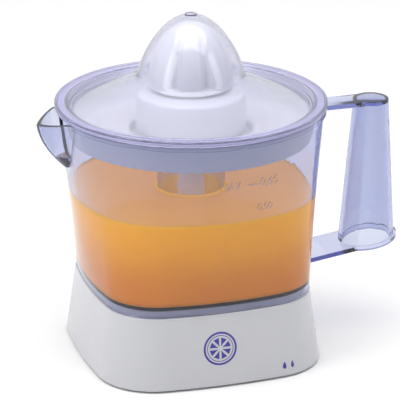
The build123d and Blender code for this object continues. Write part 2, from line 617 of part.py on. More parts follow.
pinion_phase = ROTOR_BEARING + 180.0 + 180.0 / PINION_TEETH
with BuildPart() as rotor_pinion:
    extrude(gear_outline(PINION_TEETH, PINION_Z, pinion_phase, (ROTOR_X, ROTOR_Y)), amount=PINION_FACE)
    with BuildSketch(Plane.XY.offset(PINION_Z)):
        with Locations((ROTOR_X, ROTOR_Y)):
            Circle(ROTOR_SHAFT_RADIUS)
    extrude(amount=PINION_FACE, mode=Mode.SUBTRACT)
rotor_pinion.part.label = "rotor_pinion"
export_step(rotor_pinion.part, "parts/rotor_pinion.step")

# Idler: a large and a small gear moulded in one, turning on a fixed axle.
idler_small_phase = IDLER_BEARING + 180.0 + 180.0 / IDLER_SMALL_TEETH
with BuildPart() as idler_gear:
    extrude(gear_outline(IDLER_LARGE_TEETH, IDLER_LARGE_Z, ROTOR_BEARING, (IDLER_X, IDLER_Y)),
            amount=IDLER_LARGE_FACE)
    extrude(gear_outline(IDLER_SMALL_TEETH, IDLER_LARGE_Z + IDLER_LARGE_FACE, idler_small_phase,
                         (IDLER_X, IDLER_Y)),
            amount=IDLER_SMALL_TOP_Z - IDLER_LARGE_Z - IDLER_LARGE_FACE)
    with BuildSketch(Plane.XY.offset(FRAME_TOP_Z + 0.3)):
        with Locations((IDLER_X, IDLER_Y)):
            Circle(AXLE_RADIUS + 2.0)
    extrude(amount=IDLER_LARGE_Z - FRAME_TOP_Z - 0.3)
    with BuildSketch(Plane.XY.offset(FRAME_TOP_Z)):
        with Locations((IDLER_X, IDLER_Y)):
            Circle(AXLE_RADIUS + RUN_GAP)
    extrude(amount=IDLER_SMALL_TOP_Z - FRAME_TOP_Z, mode=Mode.SUBTRACT)
idler_gear.part.label = "idler_gear"
export_step(idler_gear.part, "parts/idler_gear.step")

with BuildPart() as idler_axle:
    with BuildSketch(Plane.XY.offset(STACK_TOP_Z - 1.5)):
        with Locations((IDLER_X, IDLER_Y)):
            Circle(AXLE_RADIUS)
    extrude(amount=IDLER_SMALL_TOP_Z + 0.6 - STACK_TOP_Z + 1.5)
idler_axle.part.label = "idler_axle"
export_step(idler_axle.part, "parts/idler_axle.step")

# Motor screws through bracket, stack and frame; frame screws into the cover's posts.
with BuildPart() as motor_screws:
    with BuildSketch(Plane.XY.offset(STACK_LOW_Z - BRACKET_THICK - SCREW_HEAD_THICK)):
        with Locations(*motor_screw_spots):
            Circle(SCREW_HEAD_RADIUS)
    extrude(amount=SCREW_HEAD_THICK)
    with BuildSketch(Plane.XY.offset(STACK_LOW_Z - BRACKET_THICK)):
        with Locations(*motor_screw_spots):
            Circle(SCREW_RADIUS)
    extrude(amount=BRACKET_THICK + STACK_HEIGHT + FRAME_THICK)
motor_screws.part.label = "motor_screws"
export_step(motor_screws.part, "parts/motor_screws.step")

with BuildPart() as frame_screws:
    with BuildSketch(Plane.XY.offset(FRAME_TOP_Z)):
        with Locations(*post_spots):
            Circle(SCREW_HEAD_RADIUS)
    extrude(amount=FRAME_HEAD_THICK)
    with BuildSketch(Plane.XY.offset(STACK_TOP_Z - 7.0)):
        with Locations(*post_spots):
            Circle(SCREW_RADIUS)
    extrude(amount=7.0 + FRAME_THICK)
frame_screws.part.label = "frame_screws"
export_step(frame_screws.part, "parts/frame_screws.step")

# ================================================================ spindle and its gear
# Gear bush: a flanged bearing in the frame; the output gear rests on its upper end.
with BuildPart() as gear_bush:
    with BuildSketch(Plane.XY.offset(STACK_TOP_Z)):
        Circle(SPINDLE_STEM_RADIUS + RUN_GAP + 1.6)
    extrude(amount=OUTPUT_GEAR_Z - 0.2 - STACK_TOP_Z)
    with BuildSketch(Plane.XY.offset(STACK_TOP_Z)):
        Circle(SPINDLE_STEM_RADIUS + RUN_GAP)
    extrude(amount=OUTPUT_GEAR_Z - STACK_TOP_Z, mode=Mode.SUBTRACT)
gear_bush.part.label = "gear_bush"
export_step(gear_bush.part, "parts/gear_bush.step")

# Output gear: toothed wheel with a hub that turns in the housing, and a hexagonal bore for the spindle.
HUB_TOP_Z = PLATEAU_Z - BASE_WALL - 0.7
with BuildPart() as output_gear:
    extrude(gear_outline(OUTPUT_TEETH, OUTPUT_GEAR_Z, IDLER_BEARING), amount=OUTPUT_GEAR_FACE)
    with BuildSketch(Plane.XY.offset(OUTPUT_GEAR_Z + OUTPUT_GEAR_FACE)):
        Circle(GEAR_HUB_RADIUS)
    extrude(amount=HUB_TOP_Z - OUTPUT_GEAR_Z - OUTPUT_GEAR_FACE)
    with BuildSketch(Plane.XY.offset(OUTPUT_GEAR_Z)):
        RegularPolygon(SPINDLE_GEAR_HEX / 2 + HEX_GAP, 6, major_radius=False)
    extrude(amount=HUB_TOP_Z - OUTPUT_GEAR_Z, mode=Mode.SUBTRACT)
    with BuildSketch(Plane.XY.offset(OUTPUT_GEAR_Z)):
        with PolarLocations(16.0, 6):
            Circle(4.0)
    extrude(amount=OUTPUT_GEAR_FACE, mode=Mode.SUBTRACT)
output_gear.part.label = "output_gear"
export_step(output_gear.part, "parts/output_gear.step")

# Drive spindle: foot pin, round stem, hexagon in the gear, round journal and hexagon for the cone.
STEM_LOW_Z = STACK_TOP_Z - 3.0
CLIP_TOP_Z = STACK_TOP_Z - TOUCH_GAP
GEAR_HEX_TOP_Z = PLATEAU_Z + 0.4
with BuildPart() as drive_spindle:
    with BuildSketch(Plane.XY.offset(SPINDLE_PIN_LOW_Z)):
        Circle(SPINDLE_PIN_RADIUS)
    extrude(amount=STEM_LOW_Z - SPINDLE_PIN_LOW_Z)
    with BuildSketch(Plane.XY.offset(STEM_LOW_Z)):
        Circle(SPINDLE_STEM_RADIUS)
    extrude(amount=OUTPUT_GEAR_Z + PRESS_TRAVEL + 0.3 - STEM_LOW_Z)
    with BuildSketch(Plane.XY.offset(OUTPUT_GEAR_Z + PRESS_TRAVEL + 0.3)):
        RegularPolygon(SPINDLE_GEAR_HEX / 2, 6, major_radius=False)
    extrude(amount=GEAR_HEX_TOP_Z - OUTPUT_GEAR_Z - PRESS_TRAVEL - 0.3)
    with BuildSketch(Plane.XY.offset(GEAR_HEX_TOP_Z)):
        Circle(SPINDLE_RADIUS)
    extrude(amount=SPINDLE_HEX_LOW_Z - GEAR_HEX_TOP_Z)
    with BuildSketch(Plane.XY.offset(SPINDLE_HEX_LOW_Z)):
        RegularPolygon(SPINDLE_DRIVE_HEX / 2, 6, major_radius=False)
    extrude(amount=SPINDLE_HEX_TOP_Z - SPINDLE_HEX_LOW_Z)
    chamfer(drive_spindle.edges().group_by(Axis.Z)[-1], 1.2)
    with BuildSketch(Plane.XY.offset(CLIP_TOP_Z - CLIP_THICK)):
        Circle(SPINDLE_STEM_RADIUS + 1)
        Circle(SPINDLE_STEM_RADIUS - CLIP_GROOVE_DEPTH, mode=Mode.SUBTRACT)
    extrude(amount=CLIP_THICK, mode=Mode.SUBTRACT)
drive_spindle.part.label = "drive_spindle"
export_step(drive_spindle.part, "parts/drive_spindle.step")

# Spindle clip: a retaining ring in the stem's groove that stops the spindle under the frame.
with BuildPart() as spindle_clip:
    with BuildSketch(Plane.XY.offset(CLIP_TOP_Z - CLIP_THICK)):
        Circle(CLIP_RADIUS)
        Circle(SPINDLE_STEM_RADIUS - CLIP_GROOVE_DEPTH, mode=Mode.SUBTRACT)
        with Locations((CLIP_RADIUS, 0)):
            Rectangle(2 * CLIP_RADIUS, 3.0, mode=Mode.SUBTRACT)
    extrude(amount=CLIP_THICK)
spindle_clip.part.label = "spindle_clip"
export_step(spindle_clip.part, "parts/spindle_clip.step")

# Return spring: lifts the spindle off the switch between the foot bearing and the stem's shoulder.
SPRING_LOW_Z = COVER_TOP_Z + BEARING_HEIGHT
SPRING_HIGH_Z = STEM_LOW_Z
with BuildPart() as return_spring:
    coil_span = SPRING_HIGH_Z - SPRING_LOW_Z - SPRING_WIRE - 0.1
    with BuildLine(Plane.XY.offset(SPRING_LOW_Z + SPRING_WIRE / 2 + 0.05)) as coil_path:
        Helix(coil_span / SPRING_TURNS, coil_span, SPRING_RADIUS - SPRING_WIRE / 2)
    with BuildSketch(Plane(coil_path.line @ 0, z_dir=coil_path.line % 0)):
        Circle(SPRING_WIRE / 2)
    sweep(is_frenet=True)
return_spring.part.label = "return_spring"
export_step(return_spring.part, "parts/return_spring.step")

# Spindle bush at the top of the tower, and the lip seal that keeps juice out of it.
with BuildPart() as spindle_bush:
    add(ring(TOWER_TOP_Z - BUSH_LENGTH, TOWER_TOP_Z, SPINDLE_RADIUS + RUN_GAP, TOWER_BORE))
spindle_bush.part.label = "spindle_bush"
export_step(spindle_bush.part, "parts/spindle_bush.step")

with BuildPart() as shaft_seal:
    add(ring(TOWER_TOP_Z, TOWER_TOP_Z + SEAL_THICK, SPINDLE_RADIUS + RUN_GAP, SEAL_RADIUS))
    fillet(shaft_seal.edges().group_by(Axis.Z)[-1].sort_by(SortBy.LENGTH)[-1], 1.0)
shaft_seal.part.label = "shaft_seal"
export_step(shaft_seal.part, "parts/shaft_seal.step")

# ================================================================ switch and terminals
LEVER_THICK = 0.5
LEVER_PIVOT_Y = -20.0
LEVER_REACH_Y = -5.9
LEVER_WIDTH = 4.0
LEVER_PIN_RADIUS = 0.8
LEVER_TOP_Z = CLIP_TOP_Z - CLIP_THICK - 0.1
LEVER_PIVOT_Z = LEVER_TOP_Z - LEVER_THICK / 2
SWITCH_TOP_Z = LEVER_TOP_Z - LEVER_THICK - 3.4
with BuildPart() as switch_body:
    with BuildSketch(Plane.XY.offset(COVER_TOP_Z)):
        with Locations((0, -18.0)):
            Rectangle(6.4, 20.0)
    extrude(amount=SWITCH_TOP_Z - COVER_TOP_Z)
    with BuildSketch(Plane.YZ.offset(-3.2)):
        with Locations((LEVER_PIVOT_Y, (SWITCH_TOP_Z + LEVER_PIVOT_Z) / 2)):
            Rectangle(3.6, LEVER_PIVOT_Z + 1.6 - SWITCH_TOP_Z)
    extrude(amount=0.9)
    mirror(about=Plane.YZ)
    with BuildSketch(Plane.YZ.offset(-4.0)):
        with Locations((LEVER_PIVOT_Y, LEVER_PIVOT_Z)):
            Circle(LEVER_PIN_RADIUS + RUN_GAP)
    extrude(amount=8.0, mode=Mode.SUBTRACT)
switch_body.part.label = "switch_body"
export_step(switch_body.part, "parts/switch_body.step")

# Switch lever: a strip on a pivot pin, with its tip under the spindle's clip.
with BuildPart() as switch_lever:
    with BuildSketch(Plane.XY.offset(LEVER_TOP_Z - LEVER_THICK)):
        with Locations((0, (LEVER_PIVOT_Y + LEVER_REACH_Y) / 2)):
            Rectangle(LEVER_WIDTH, LEVER_REACH_Y - LEVER_PIVOT_Y)
    extrude(amount=LEVER_THICK)
    with BuildSketch(Plane.YZ.offset(-3.2)):
        with Locations((LEVER_PIVOT_Y, LEVER_PIVOT_Z)):
            Circle(LEVER_PIN_RADIUS)
    extrude(amount=6.4)
switch_lever.part.label = "switch_lever"
export_step(switch_lever.part, "parts/switch_lever.step")

# Terminal block: a two-way connector on the cover beside the switch.
with BuildPart() as terminal_block:
    with BuildSketch(Plane.XY.offset(COVER_TOP_Z)):
        with Locations((26.0, -26.0)):
            RectangleRounded(14.0, 10.0, 1.0)
    extrude(amount=9.0)
    with BuildSketch(Plane.XY.offset(COVER_TOP_Z + 9.0)):
        with Locations((26.0, -26.0)):
            with GridLocations(7.0, 0, 2, 1):
                Circle(2.2)
    extrude(amount=-5.0, mode=Mode.SUBTRACT)
terminal_block.part.label = "terminal_block"
export_step(terminal_block.part, "parts/terminal_block.step")

# ================================================================ jug
def spout_outline(up, inset):
    """The spout's plan at a share of its height: a V with bowed sides and a rounded tip.

    Its ridge follows a parabola, deep at the rim and meeting the wall at the foot of the spout.
    """
    height = JUG_TOP_Z - SPOUT_DEPTH * (1 - up)
    wall_x = -JUG_TOP_RADIUS + 3.5
    tip_x = wall_x + (SPOUT_TIP_X - wall_x) * (1 - (1 - up) ** 2) + inset * 1.3
    root_x = wall_x + 6.0
    root_y = (JUG_TOP_RADIUS * math.sin(math.radians(SPOUT_HALF_ANGLE)) + 4.6) * up**0.7 - inset
    bow_x = (root_x + tip_x) / 2 - 0.12 * root_y
    bow_y = root_y / 2 + 0.12 * (root_x - tip_x)
    with BuildSketch(Plane.XY.offset(height)) as outline:
        with BuildLine():
            ThreePointArc((root_x, root_y), (bow_x, bow_y), (tip_x, 0))
            ThreePointArc((tip_x, 0), (bow_x, -bow_y), (root_x, -root_y))
            Line((root_x, -root_y), (root_x, root_y))
        make_face()
        fillet(outline.vertices().sort_by(Axis.X)[0], max(0.4, SPOUT_TIP_RADIUS * up - inset))
    return outline.sketch


def grip_outline(height, inset):
    """The handle's round grip at a height: it widens downwards and leans a little inwards."""
    up = share(LOW_STRAP_GRIP_Z, TOP_STRAP_Z, height)
    radius = GRIP_LOW_RADIUS + (GRIP_TOP_RADIUS - GRIP_LOW_RADIUS) * up
    middle = GRIP_LOW_X + (GRIP_TOP_X - GRIP_LOW_X) * up
    with BuildSketch(Plane.XY.offset(height)) as outline:
        with Locations((middle, 0)):
            Circle(radius - inset)
    return outline.sketch


# Jug: one clear moulding of body, foot skirt, chimney for the spindle, spout and handle.
strap_root_x = JUG_FOOT_HALF - JUG_WALL / 2
strap_end_x = GRIP_LOW_X + GRIP_LOW_RADIUS + GRIP_FLANGE + 1
low_strap_start_z = LOW_STRAP_JUG_Z - 5.0 * LOW_STRAP_SLOPE
low_strap_end_z = low_strap_start_z + LOW_STRAP_SLOPE * (strap_end_x - strap_root_x)
spout_steps = (0.06, 0.3, 0.55, 0.8, 1.0)
with BuildPart() as low_strap:
    with BuildSketch(Plane.XY.offset(LOW_STRAP_JUG_Z - 10)):
        with Locations(((strap_root_x + GRIP_LOW_X) / 2, 0)):
            Rectangle(GRIP_LOW_X - strap_root_x, LOW_STRAP_WIDTH)
        with Locations((GRIP_LOW_X, 0)):
            Circle(GRIP_LOW_RADIUS + GRIP_FLANGE)
    extrude(amount=30.0)
    with BuildSketch(Plane.XZ):
        with BuildLine():
            Polyline((strap_root_x - 1, low_strap_start_z), (strap_end_x, low_strap_end_z),
                     (strap_end_x, low_strap_end_z + STRAP_THICK),
                     (strap_root_x - 1, low_strap_start_z + STRAP_THICK), close=True)
        make_face()
    extrude(amount=GRIP_LOW_RADIUS + 3, both=True, mode=Mode.INTERSECT)
with BuildPart() as grip:
    loft([grip_outline(LOW_STRAP_JUG_Z - 5, 0), grip_outline(TOP_STRAP_Z, 0)])
    fillet(grip.edges().group_by(Axis.Z)[-1], 0.8)
    with BuildSketch(Plane.XZ):
        with BuildLine():
            Polyline((strap_root_x, low_strap_start_z + 0.6), (strap_end_x, low_strap_end_z + 0.6),
                     (strap_end_x, 0), (strap_root_x, 0), close=True)
        make_face()
    extrude(amount=GRIP_LOW_RADIUS + 3, both=True, mode=Mode.SUBTRACT)
with BuildPart() as jug:
    add(jug_solid(JUG_FOOT_Z, JUG_TOP_Z, 0))
    add(ring(JUG_TOP_Z - RIM_BEAD_HEIGHT, JUG_TOP_Z, JUG_TOP_RADIUS - 1, JUG_TOP_RADIUS + RIM_BEAD))
    loft([spout_outline(up, 0) for up in spout_steps])
    with BuildSketch(Plane.XZ):
        with BuildLine():
            Polyline((-JUG_TOP_RADIUS - RIM_BEAD, JUG_TOP_Z), (SPOUT_TIP_X - 2, JUG_TOP_Z - SPOUT_TIP_DROP),
                     (SPOUT_TIP_X - 2, JUG_TOP_Z + 5), (-JUG_TOP_RADIUS - RIM_BEAD, JUG_TOP_Z + 5), close=True)
        make_face()
    extrude(amount=30.0, both=True, mode=Mode.SUBTRACT)
    with BuildSketch(Plane.XY.offset(TOP_STRAP_Z - STRAP_THICK)):
        with Locations(((JUG_TOP_RADIUS - JUG_WALL + GRIP_TOP_X) / 2, 0)):
            Rectangle(GRIP_TOP_X - JUG_TOP_RADIUS + JUG_WALL, TOP_STRAP_WIDTH)
    extrude(amount=STRAP_THICK)
    add(low_strap.part)
    add(grip.part)
    add(jug_solid(JUG_FLOOR_Z, JUG_TOP_Z, JUG_WALL), mode=Mode.SUBTRACT)
    add(jug_solid(JUG_FOOT_Z, JUG_FLOOR_Z - JUG_FLOOR_THICK, JUG_WALL), mode=Mode.SUBTRACT)
    loft([spout_outline(up, SPOUT_WALL) for up in spout_steps[1:]], mode=Mode.SUBTRACT)
    loft([grip_outline(LOW_STRAP_JUG_Z - 5, GRIP_WALL), grip_outline(TOP_STRAP_Z - STRAP_THICK, GRIP_WALL)],
         mode=Mode.SUBTRACT)
    chimney_top_z = STRAINER_RECESS_Z - STRAINER_WALL - TOUCH_GAP
    with BuildSketch(Plane.XY.offset(JUG_FLOOR_Z)):
        Circle(CHIMNEY_FOOT_RADIUS)
    with BuildSketch(Plane.XY.offset(chimney_top_z)):
        Circle(CHIMNEY_TOP_RADIUS)
    loft()
    with BuildSketch(Plane.XY.offset(JUG_FLOOR_Z - JUG_FLOOR_THICK)):
        Circle(CHIMNEY_FOOT_RADIUS - CHIMNEY_WALL)
    with BuildSketch(Plane.XY.offset(chimney_top_z)):
        Circle(CHIMNEY_TOP_RADIUS - CHIMNEY_WALL)
    loft(mode=Mode.SUBTRACT)
jug.part.label = "jug"
export_step(jug.part, "parts/jug.step")

# ================================================================ strainer
# Strainer: a shallow basket on the jug's rim, slotted floor, and a collar round the spindle.
with BuildPart() as strainer:
    with BuildSketch(Plane.XZ):
        with BuildLine():
            under = STRAINER_FLOOR_Z - STRAINER_WALL
            well_under = STRAINER_RECESS_Z - STRAINER_WALL
            Polyline(
                (STRAINER_LIP_RADIUS, JUG_TOP_Z),
                (STRAINER_LIP_RADIUS, LIP_TOP_Z),
                (STRAINER_TOP_RADIUS - STRAINER_WALL, LIP_TOP_Z),
                (STRAINER_LOW_RADIUS - STRAINER_WALL, STRAINER_FLOOR_Z),
                (STRAINER_WELL_RADIUS + STRAINER_WALL, STRAINER_FLOOR_Z),
                (STRAINER_WELL_RADIUS, STRAINER_FLOOR_Z - 0.6),
                (STRAINER_WELL_RADIUS, STRAINER_RECESS_Z),
                (STRAINER_BORE_RADIUS + STRAINER_WALL, STRAINER_RECESS_Z),
                (STRAINER_BORE_RADIUS + STRAINER_WALL, STRAINER_COLLAR_TOP_Z),
                (STRAINER_BORE_RADIUS, STRAINER_COLLAR_TOP_Z),
                (STRAINER_BORE_RADIUS, well_under),
                (STRAINER_WELL_RADIUS + STRAINER_WALL, well_under),
                (STRAINER_WELL_RADIUS + STRAINER_WALL, under),
                (STRAINER_LOW_RADIUS, under),
                (STRAINER_TOP_RADIUS, JUG_TOP_Z),
                close=True,
            )
        make_face()
    revolve(axis=Axis.Z)
    locating_inner = CHIMNEY_TOP_RADIUS + 1.0
    add(ring(well_under - LOCATING_RING_DEPTH, well_under, locating_inner, locating_inner + STRAINER_WALL))
    slot_length = SLOT_OUTER_RADIUS - SLOT_INNER_RADIUS
    with BuildSketch(Plane.XY.offset(under - 1)):
        with PolarLocations((SLOT_OUTER_RADIUS + SLOT_INNER_RADIUS) / 2, SLOT_COUNT):
            SlotOverall(slot_length, SLOT_WIDTH)
    extrude(amount=STRAINER_WALL + 2, mode=Mode.SUBTRACT)
strainer.part.label = "strainer"
export_step(strainer.part, "parts/strainer.step")

# ================================================================ reamer cone
def ogive_points(radius, low, apex, power, steps=8):
    """Points up an ogive's profile, where r = radius * sqrt(1 - s ** power) and s runs from 0 to 1."""
    shares = [math.sin(math.pi / 2 * step / steps) for step in range(steps + 1)]
    return [(radius * math.sqrt(1 - s**power), low + (apex - low) * s) for s in shares]


# Cone: ribs on an ogive core, a flange, a sloping shoulder and a skirt; a hexagonal socket inside.
rise = CONE_APEX_Z - CONE_BASE_Z
neck = CONE_RADIUS - CONE_NECK_DEPTH
with BuildPart() as cone_ribs:
    with BuildSketch(Plane.XZ):
        with BuildLine():
            rib_crest = Spline(*ogive_points(CONE_RADIUS, CONE_BASE_Z, CONE_APEX_Z, 2))
            Polyline(rib_crest @ 1, (0, CONE_BASE_Z - 1), (CONE_RADIUS, CONE_BASE_Z - 1), rib_crest @ 0)
        make_face()
    revolve(axis=Axis.Z)
    half_rib = CONE_RADIUS * 1.5 * math.tan(math.radians(CONE_RIB_ANGLE / 2))
    with BuildSketch(Plane.XY.offset(CONE_BASE_Z - 1)):
        Circle(CONE_CORE_RADIUS / 2)
        with PolarLocations(0, CONE_RIB_COUNT):
            Polygon((0, 0), (CONE_RADIUS * 1.5, -half_rib), (CONE_RADIUS * 1.5, half_rib), align=None)
    extrude(amount=rise + 1 - CONE_TIP_FLAT, mode=Mode.INTERSECT)
with BuildPart() as reamer_cone:
    with BuildSketch(Plane.XZ):
        with BuildLine():
            core = Spline(*ogive_points(CONE_CORE_RADIUS, CONE_BASE_Z, CONE_APEX_Z - 1.2, 2))
            Polyline(
                core @ 0,
                (CONE_RADIUS, CONE_BASE_Z),
                (CONE_RADIUS, CONE_BASE_Z - CONE_FLANGE_THICK),
                (neck, CONE_BASE_Z - CONE_FLANGE_THICK - 0.6),
                (CONE_SHOULDER_RADIUS, CONE_SHOULDER_Z),
                (CONE_SKIRT_RADIUS, CONE_SKIRT_Z),
                (0, CONE_SKIRT_Z),
                core @ 1,
            )
        make_face()
    revolve(axis=Axis.Z)
    fillet(reamer_cone.edges().filter_by_position(Axis.Z, CONE_SHOULDER_Z - 0.1, CONE_SHOULDER_Z + 0.1), 1.2)
    add(cone_ribs.part)
    with BuildSketch(Plane.XZ):
        with BuildLine():
            roof_z = CONE_SHOULDER_Z - CONE_WALL
            hollow_radius = neck - CONE_WALL
            hollow = Spline(*ogive_points(hollow_radius, CONE_BASE_Z, CONE_APEX_Z - 2 * CONE_WALL, 2))
            Polyline(
                hollow @ 0,
                (hollow_radius, roof_z + 2.4),
                (CONE_SHOULDER_RADIUS - CONE_WALL, roof_z),
                (CONE_SKIRT_RADIUS - CONE_WALL, CONE_SKIRT_Z),
                (0, CONE_SKIRT_Z),
                hollow @ 1,
            )
        make_face()
    revolve(axis=Axis.Z, mode=Mode.SUBTRACT)
    with BuildSketch(Plane.XY.offset(CONE_HUB_LOW_Z)):
        Circle(CONE_HUB_RADIUS)
    extrude(amount=CONE_BASE_Z + CONE_HUB_RISE - CONE_HUB_LOW_Z)
    with BuildSketch(Plane.XY.offset(CONE_HUB_LOW_Z)):
        RegularPolygon(SPINDLE_DRIVE_HEX / 2 + HEX_GAP, 6, major_radius=False)
    extrude(amount=SPINDLE_HEX_TOP_Z + TOUCH_GAP - CONE_HUB_LOW_Z, mode=Mode.SUBTRACT)
reamer_cone.part.label = "reamer_cone"
export_step(reamer_cone.part, "parts/reamer_cone.step")

# ================================================================ lid
# Lid: a ring over the rim, a short well, a sloping brim and a dome with a small nub on top.
well_z = LID_TOP_Z - LID_WELL_DEPTH
inner_well = LID_WELL_RADIUS - LID_WELL_DRAFT
dome_inner = LID_DOME_RADIUS - LID_WALL
with BuildPart() as lid:
    with BuildSketch(Plane.XZ):
        with BuildLine():
            outer_dome = Spline(*ogive_points(LID_DOME_RADIUS, LID_DOME_LOW_Z, LID_APEX_Z, LID_DOME_POWER))
            inner_dome = Spline(*ogive_points(dome_inner, LID_DOME_LOW_Z, LID_APEX_Z - LID_WALL, LID_DOME_POWER))
            Line(outer_dome @ 1, inner_dome @ 1)
            Polyline(
                outer_dome @ 0,
                (LID_DOME_RADIUS + 1.6, LID_DOME_LOW_Z - 3.6),
                (LID_BRIM_INNER_RADIUS, LID_BRIM_INNER_Z),
                (inner_well, well_z),
                (LID_WELL_RADIUS, LID_TOP_Z),
                (LID_RADIUS - 0.8, LID_TOP_Z),
                (LID_RADIUS, LID_TOP_Z - 0.8),
                (LID_RADIUS, LID_LOW_Z),
                (STRAINER_LIP_RADIUS + 0.4, LID_LOW_Z),
                (STRAINER_LIP_RADIUS + 0.4, LIP_TOP_Z + TOUCH_GAP),
                (LID_WELL_RADIUS + LID_WALL, LIP_TOP_Z + TOUCH_GAP),
                (inner_well + LID_WALL, well_z - 1.0),
                (inner_well, well_z - LID_WALL),
                (LID_BRIM_INNER_RADIUS - 0.6, LID_BRIM_INNER_Z - LID_WALL),
                (LID_DOME_RADIUS, LID_DOME_LOW_Z - 4.0),
                inner_dome @ 0,
            )
        make_face()
    revolve(axis=Axis.Z)
    with BuildSketch(Plane.XY.offset(LID_APEX_Z - 0.4)):
        Circle(LID_NUB_RADIUS)
    extrude(amount=LID_NUB_HEIGHT + 0.4)
lid.part.label = "lid"
export_step(lid.part, "parts/lid.step")
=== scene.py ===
"""Citrus press: finishes of the moulded parts, the juice in the jug, the scale, the emblem and the studio.

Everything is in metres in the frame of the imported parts: Z is the spindle's axis, z = 0 the worktop,
+X the handle's side, -X the spout's side and -Y the front.
"""

import math

import bpy
import numpy as np
from bpy.props import FloatProperty, FloatVectorProperty, PointerProperty
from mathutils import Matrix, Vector


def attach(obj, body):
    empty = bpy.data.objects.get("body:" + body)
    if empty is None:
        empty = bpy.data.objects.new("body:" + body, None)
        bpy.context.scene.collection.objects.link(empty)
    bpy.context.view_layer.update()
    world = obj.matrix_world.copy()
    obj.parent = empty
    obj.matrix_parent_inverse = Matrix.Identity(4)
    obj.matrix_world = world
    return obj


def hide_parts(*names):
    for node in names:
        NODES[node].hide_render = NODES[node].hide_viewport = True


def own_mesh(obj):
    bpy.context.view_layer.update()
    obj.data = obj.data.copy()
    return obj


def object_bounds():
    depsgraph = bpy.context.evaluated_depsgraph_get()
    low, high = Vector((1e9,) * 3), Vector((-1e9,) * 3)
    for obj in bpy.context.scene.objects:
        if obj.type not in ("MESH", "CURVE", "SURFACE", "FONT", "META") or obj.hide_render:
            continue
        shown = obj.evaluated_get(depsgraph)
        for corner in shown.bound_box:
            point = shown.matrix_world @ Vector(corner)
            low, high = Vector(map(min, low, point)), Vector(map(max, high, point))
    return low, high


bl_info = {
    "name": "Citrus press finishes",
    "version": (1, 0, 0),
    "blender": (4, 5, 0),
    "location": "3D View > Sidebar > Citrus press",
    "description": "Finishes, juice, scale, emblem and studio for a citrus press",
    "category": "Object",
}

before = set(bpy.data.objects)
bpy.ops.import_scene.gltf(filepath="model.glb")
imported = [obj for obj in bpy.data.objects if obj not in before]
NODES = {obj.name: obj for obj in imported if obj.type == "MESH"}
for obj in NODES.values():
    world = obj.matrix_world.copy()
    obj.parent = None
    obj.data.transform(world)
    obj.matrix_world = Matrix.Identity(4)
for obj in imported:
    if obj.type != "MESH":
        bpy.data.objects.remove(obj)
CAD_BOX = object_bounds()

MM = 0.001
JUG_FOOT_Z = 37.4 * MM
JUG_TOP_Z = 128.4 * MM
JUG_FLOOR_Z = 43.4 * MM
JUG_FOOT = (54.6 * MM, 205.0 * MM, 26.5 * MM)  # half width, radius of the bowed sides, corner radius
JUG_TOP_RADIUS = 66.9 * MM
JUG_WALL = 2.0 * MM
JUICE_INSET = 0.5 * MM  # from the jug's outer face: the juice reaches into the wall, so no air shows between
CHIMNEY = (18.6 * MM, 16.6 * MM)  # outer radius at the floor and at the top
CHIMNEY_TOP_Z = 110.2 * MM
CONE_SEGMENTS = 720
CONE_RIBS = 8
CONE_RIB_TURN = math.radians(-107.0)  # bearing of the middle of a rib
CONE_GROOVE_HALF = math.radians(10.0)  # from a groove's middle to its edge
CONE_GROOVE_END = 0.96  # share of the height where the grooves have run out
CONE_GROOVE_FADE = 0.3  # share of the height over which they run out
CONE_FOOT_Z = 141.5 * MM
CONE_TIP_Z = 171.0 * MM
CONE_CORE_DROP = 1.2 * MM  # how far the grooves' floor lies below the crests at the tip
CONE_CREST = 21.0 * MM
CONE_CORE = 18.4 * MM
CONE_HOLLOW = 15.1 * MM  # radius of the hollow under the ribs
CONE_HOLLOW_RISE = 25.7 * MM
CONE_HUB = 9.6 * MM  # outer radius of the socket's hub
CONE_HUB_Z = 121.0 * MM
SOCKET_TOP_Z = 132.3 * MM
SOCKET_ACROSS = 6.08 * MM  # from the axis to a flat
LID_SEGMENTS = 288
HOUSING_FOOT_Z = 1.0 * MM
HOUSING_LEDGE_Z = 37.2 * MM
HOUSING_FOOT = (59.3 * MM, 292.0 * MM, 29.8 * MM)
HOUSING_TOP = (54.9 * MM, 227.0 * MM, 27.7 * MM)
NUDGE = 1e-6  # a step along a wall that is small enough to give its slope
EYE = (-0.3593, -1.1580, 0.5282)
LOOKED_AT = (0.0043, -0.0013, 0.0774)


def linear_rgb(hex_text):
    """An sRGB hex colour as three linear values.

    Each is ((c + 0.055) / 1.055) ** 2.4, or c / 12.92 when it is dark.
    """
    values = [int(hex_text[i:i + 2], 16) / 255 for i in (1, 3, 5)]
    return tuple(c / 12.92 if c <= 0.04045 else ((c + 0.055) / 1.055) ** 2.4 for c in values)


# ------------------------------------------------------------------ properties

def colour(name, description, hex_text):
    """A colour property with its default given as sRGB hex."""
    return FloatVectorProperty(name=name, description=description, subtype="COLOR", size=3,
                               min=0.0, max=1.0, default=linear_rgb(hex_text))


def length(name, description, value):
    """A length property in metres."""
    return FloatProperty(name=name, description=description, default=value, unit="LENGTH",
                         subtype="DISTANCE", precision=5)


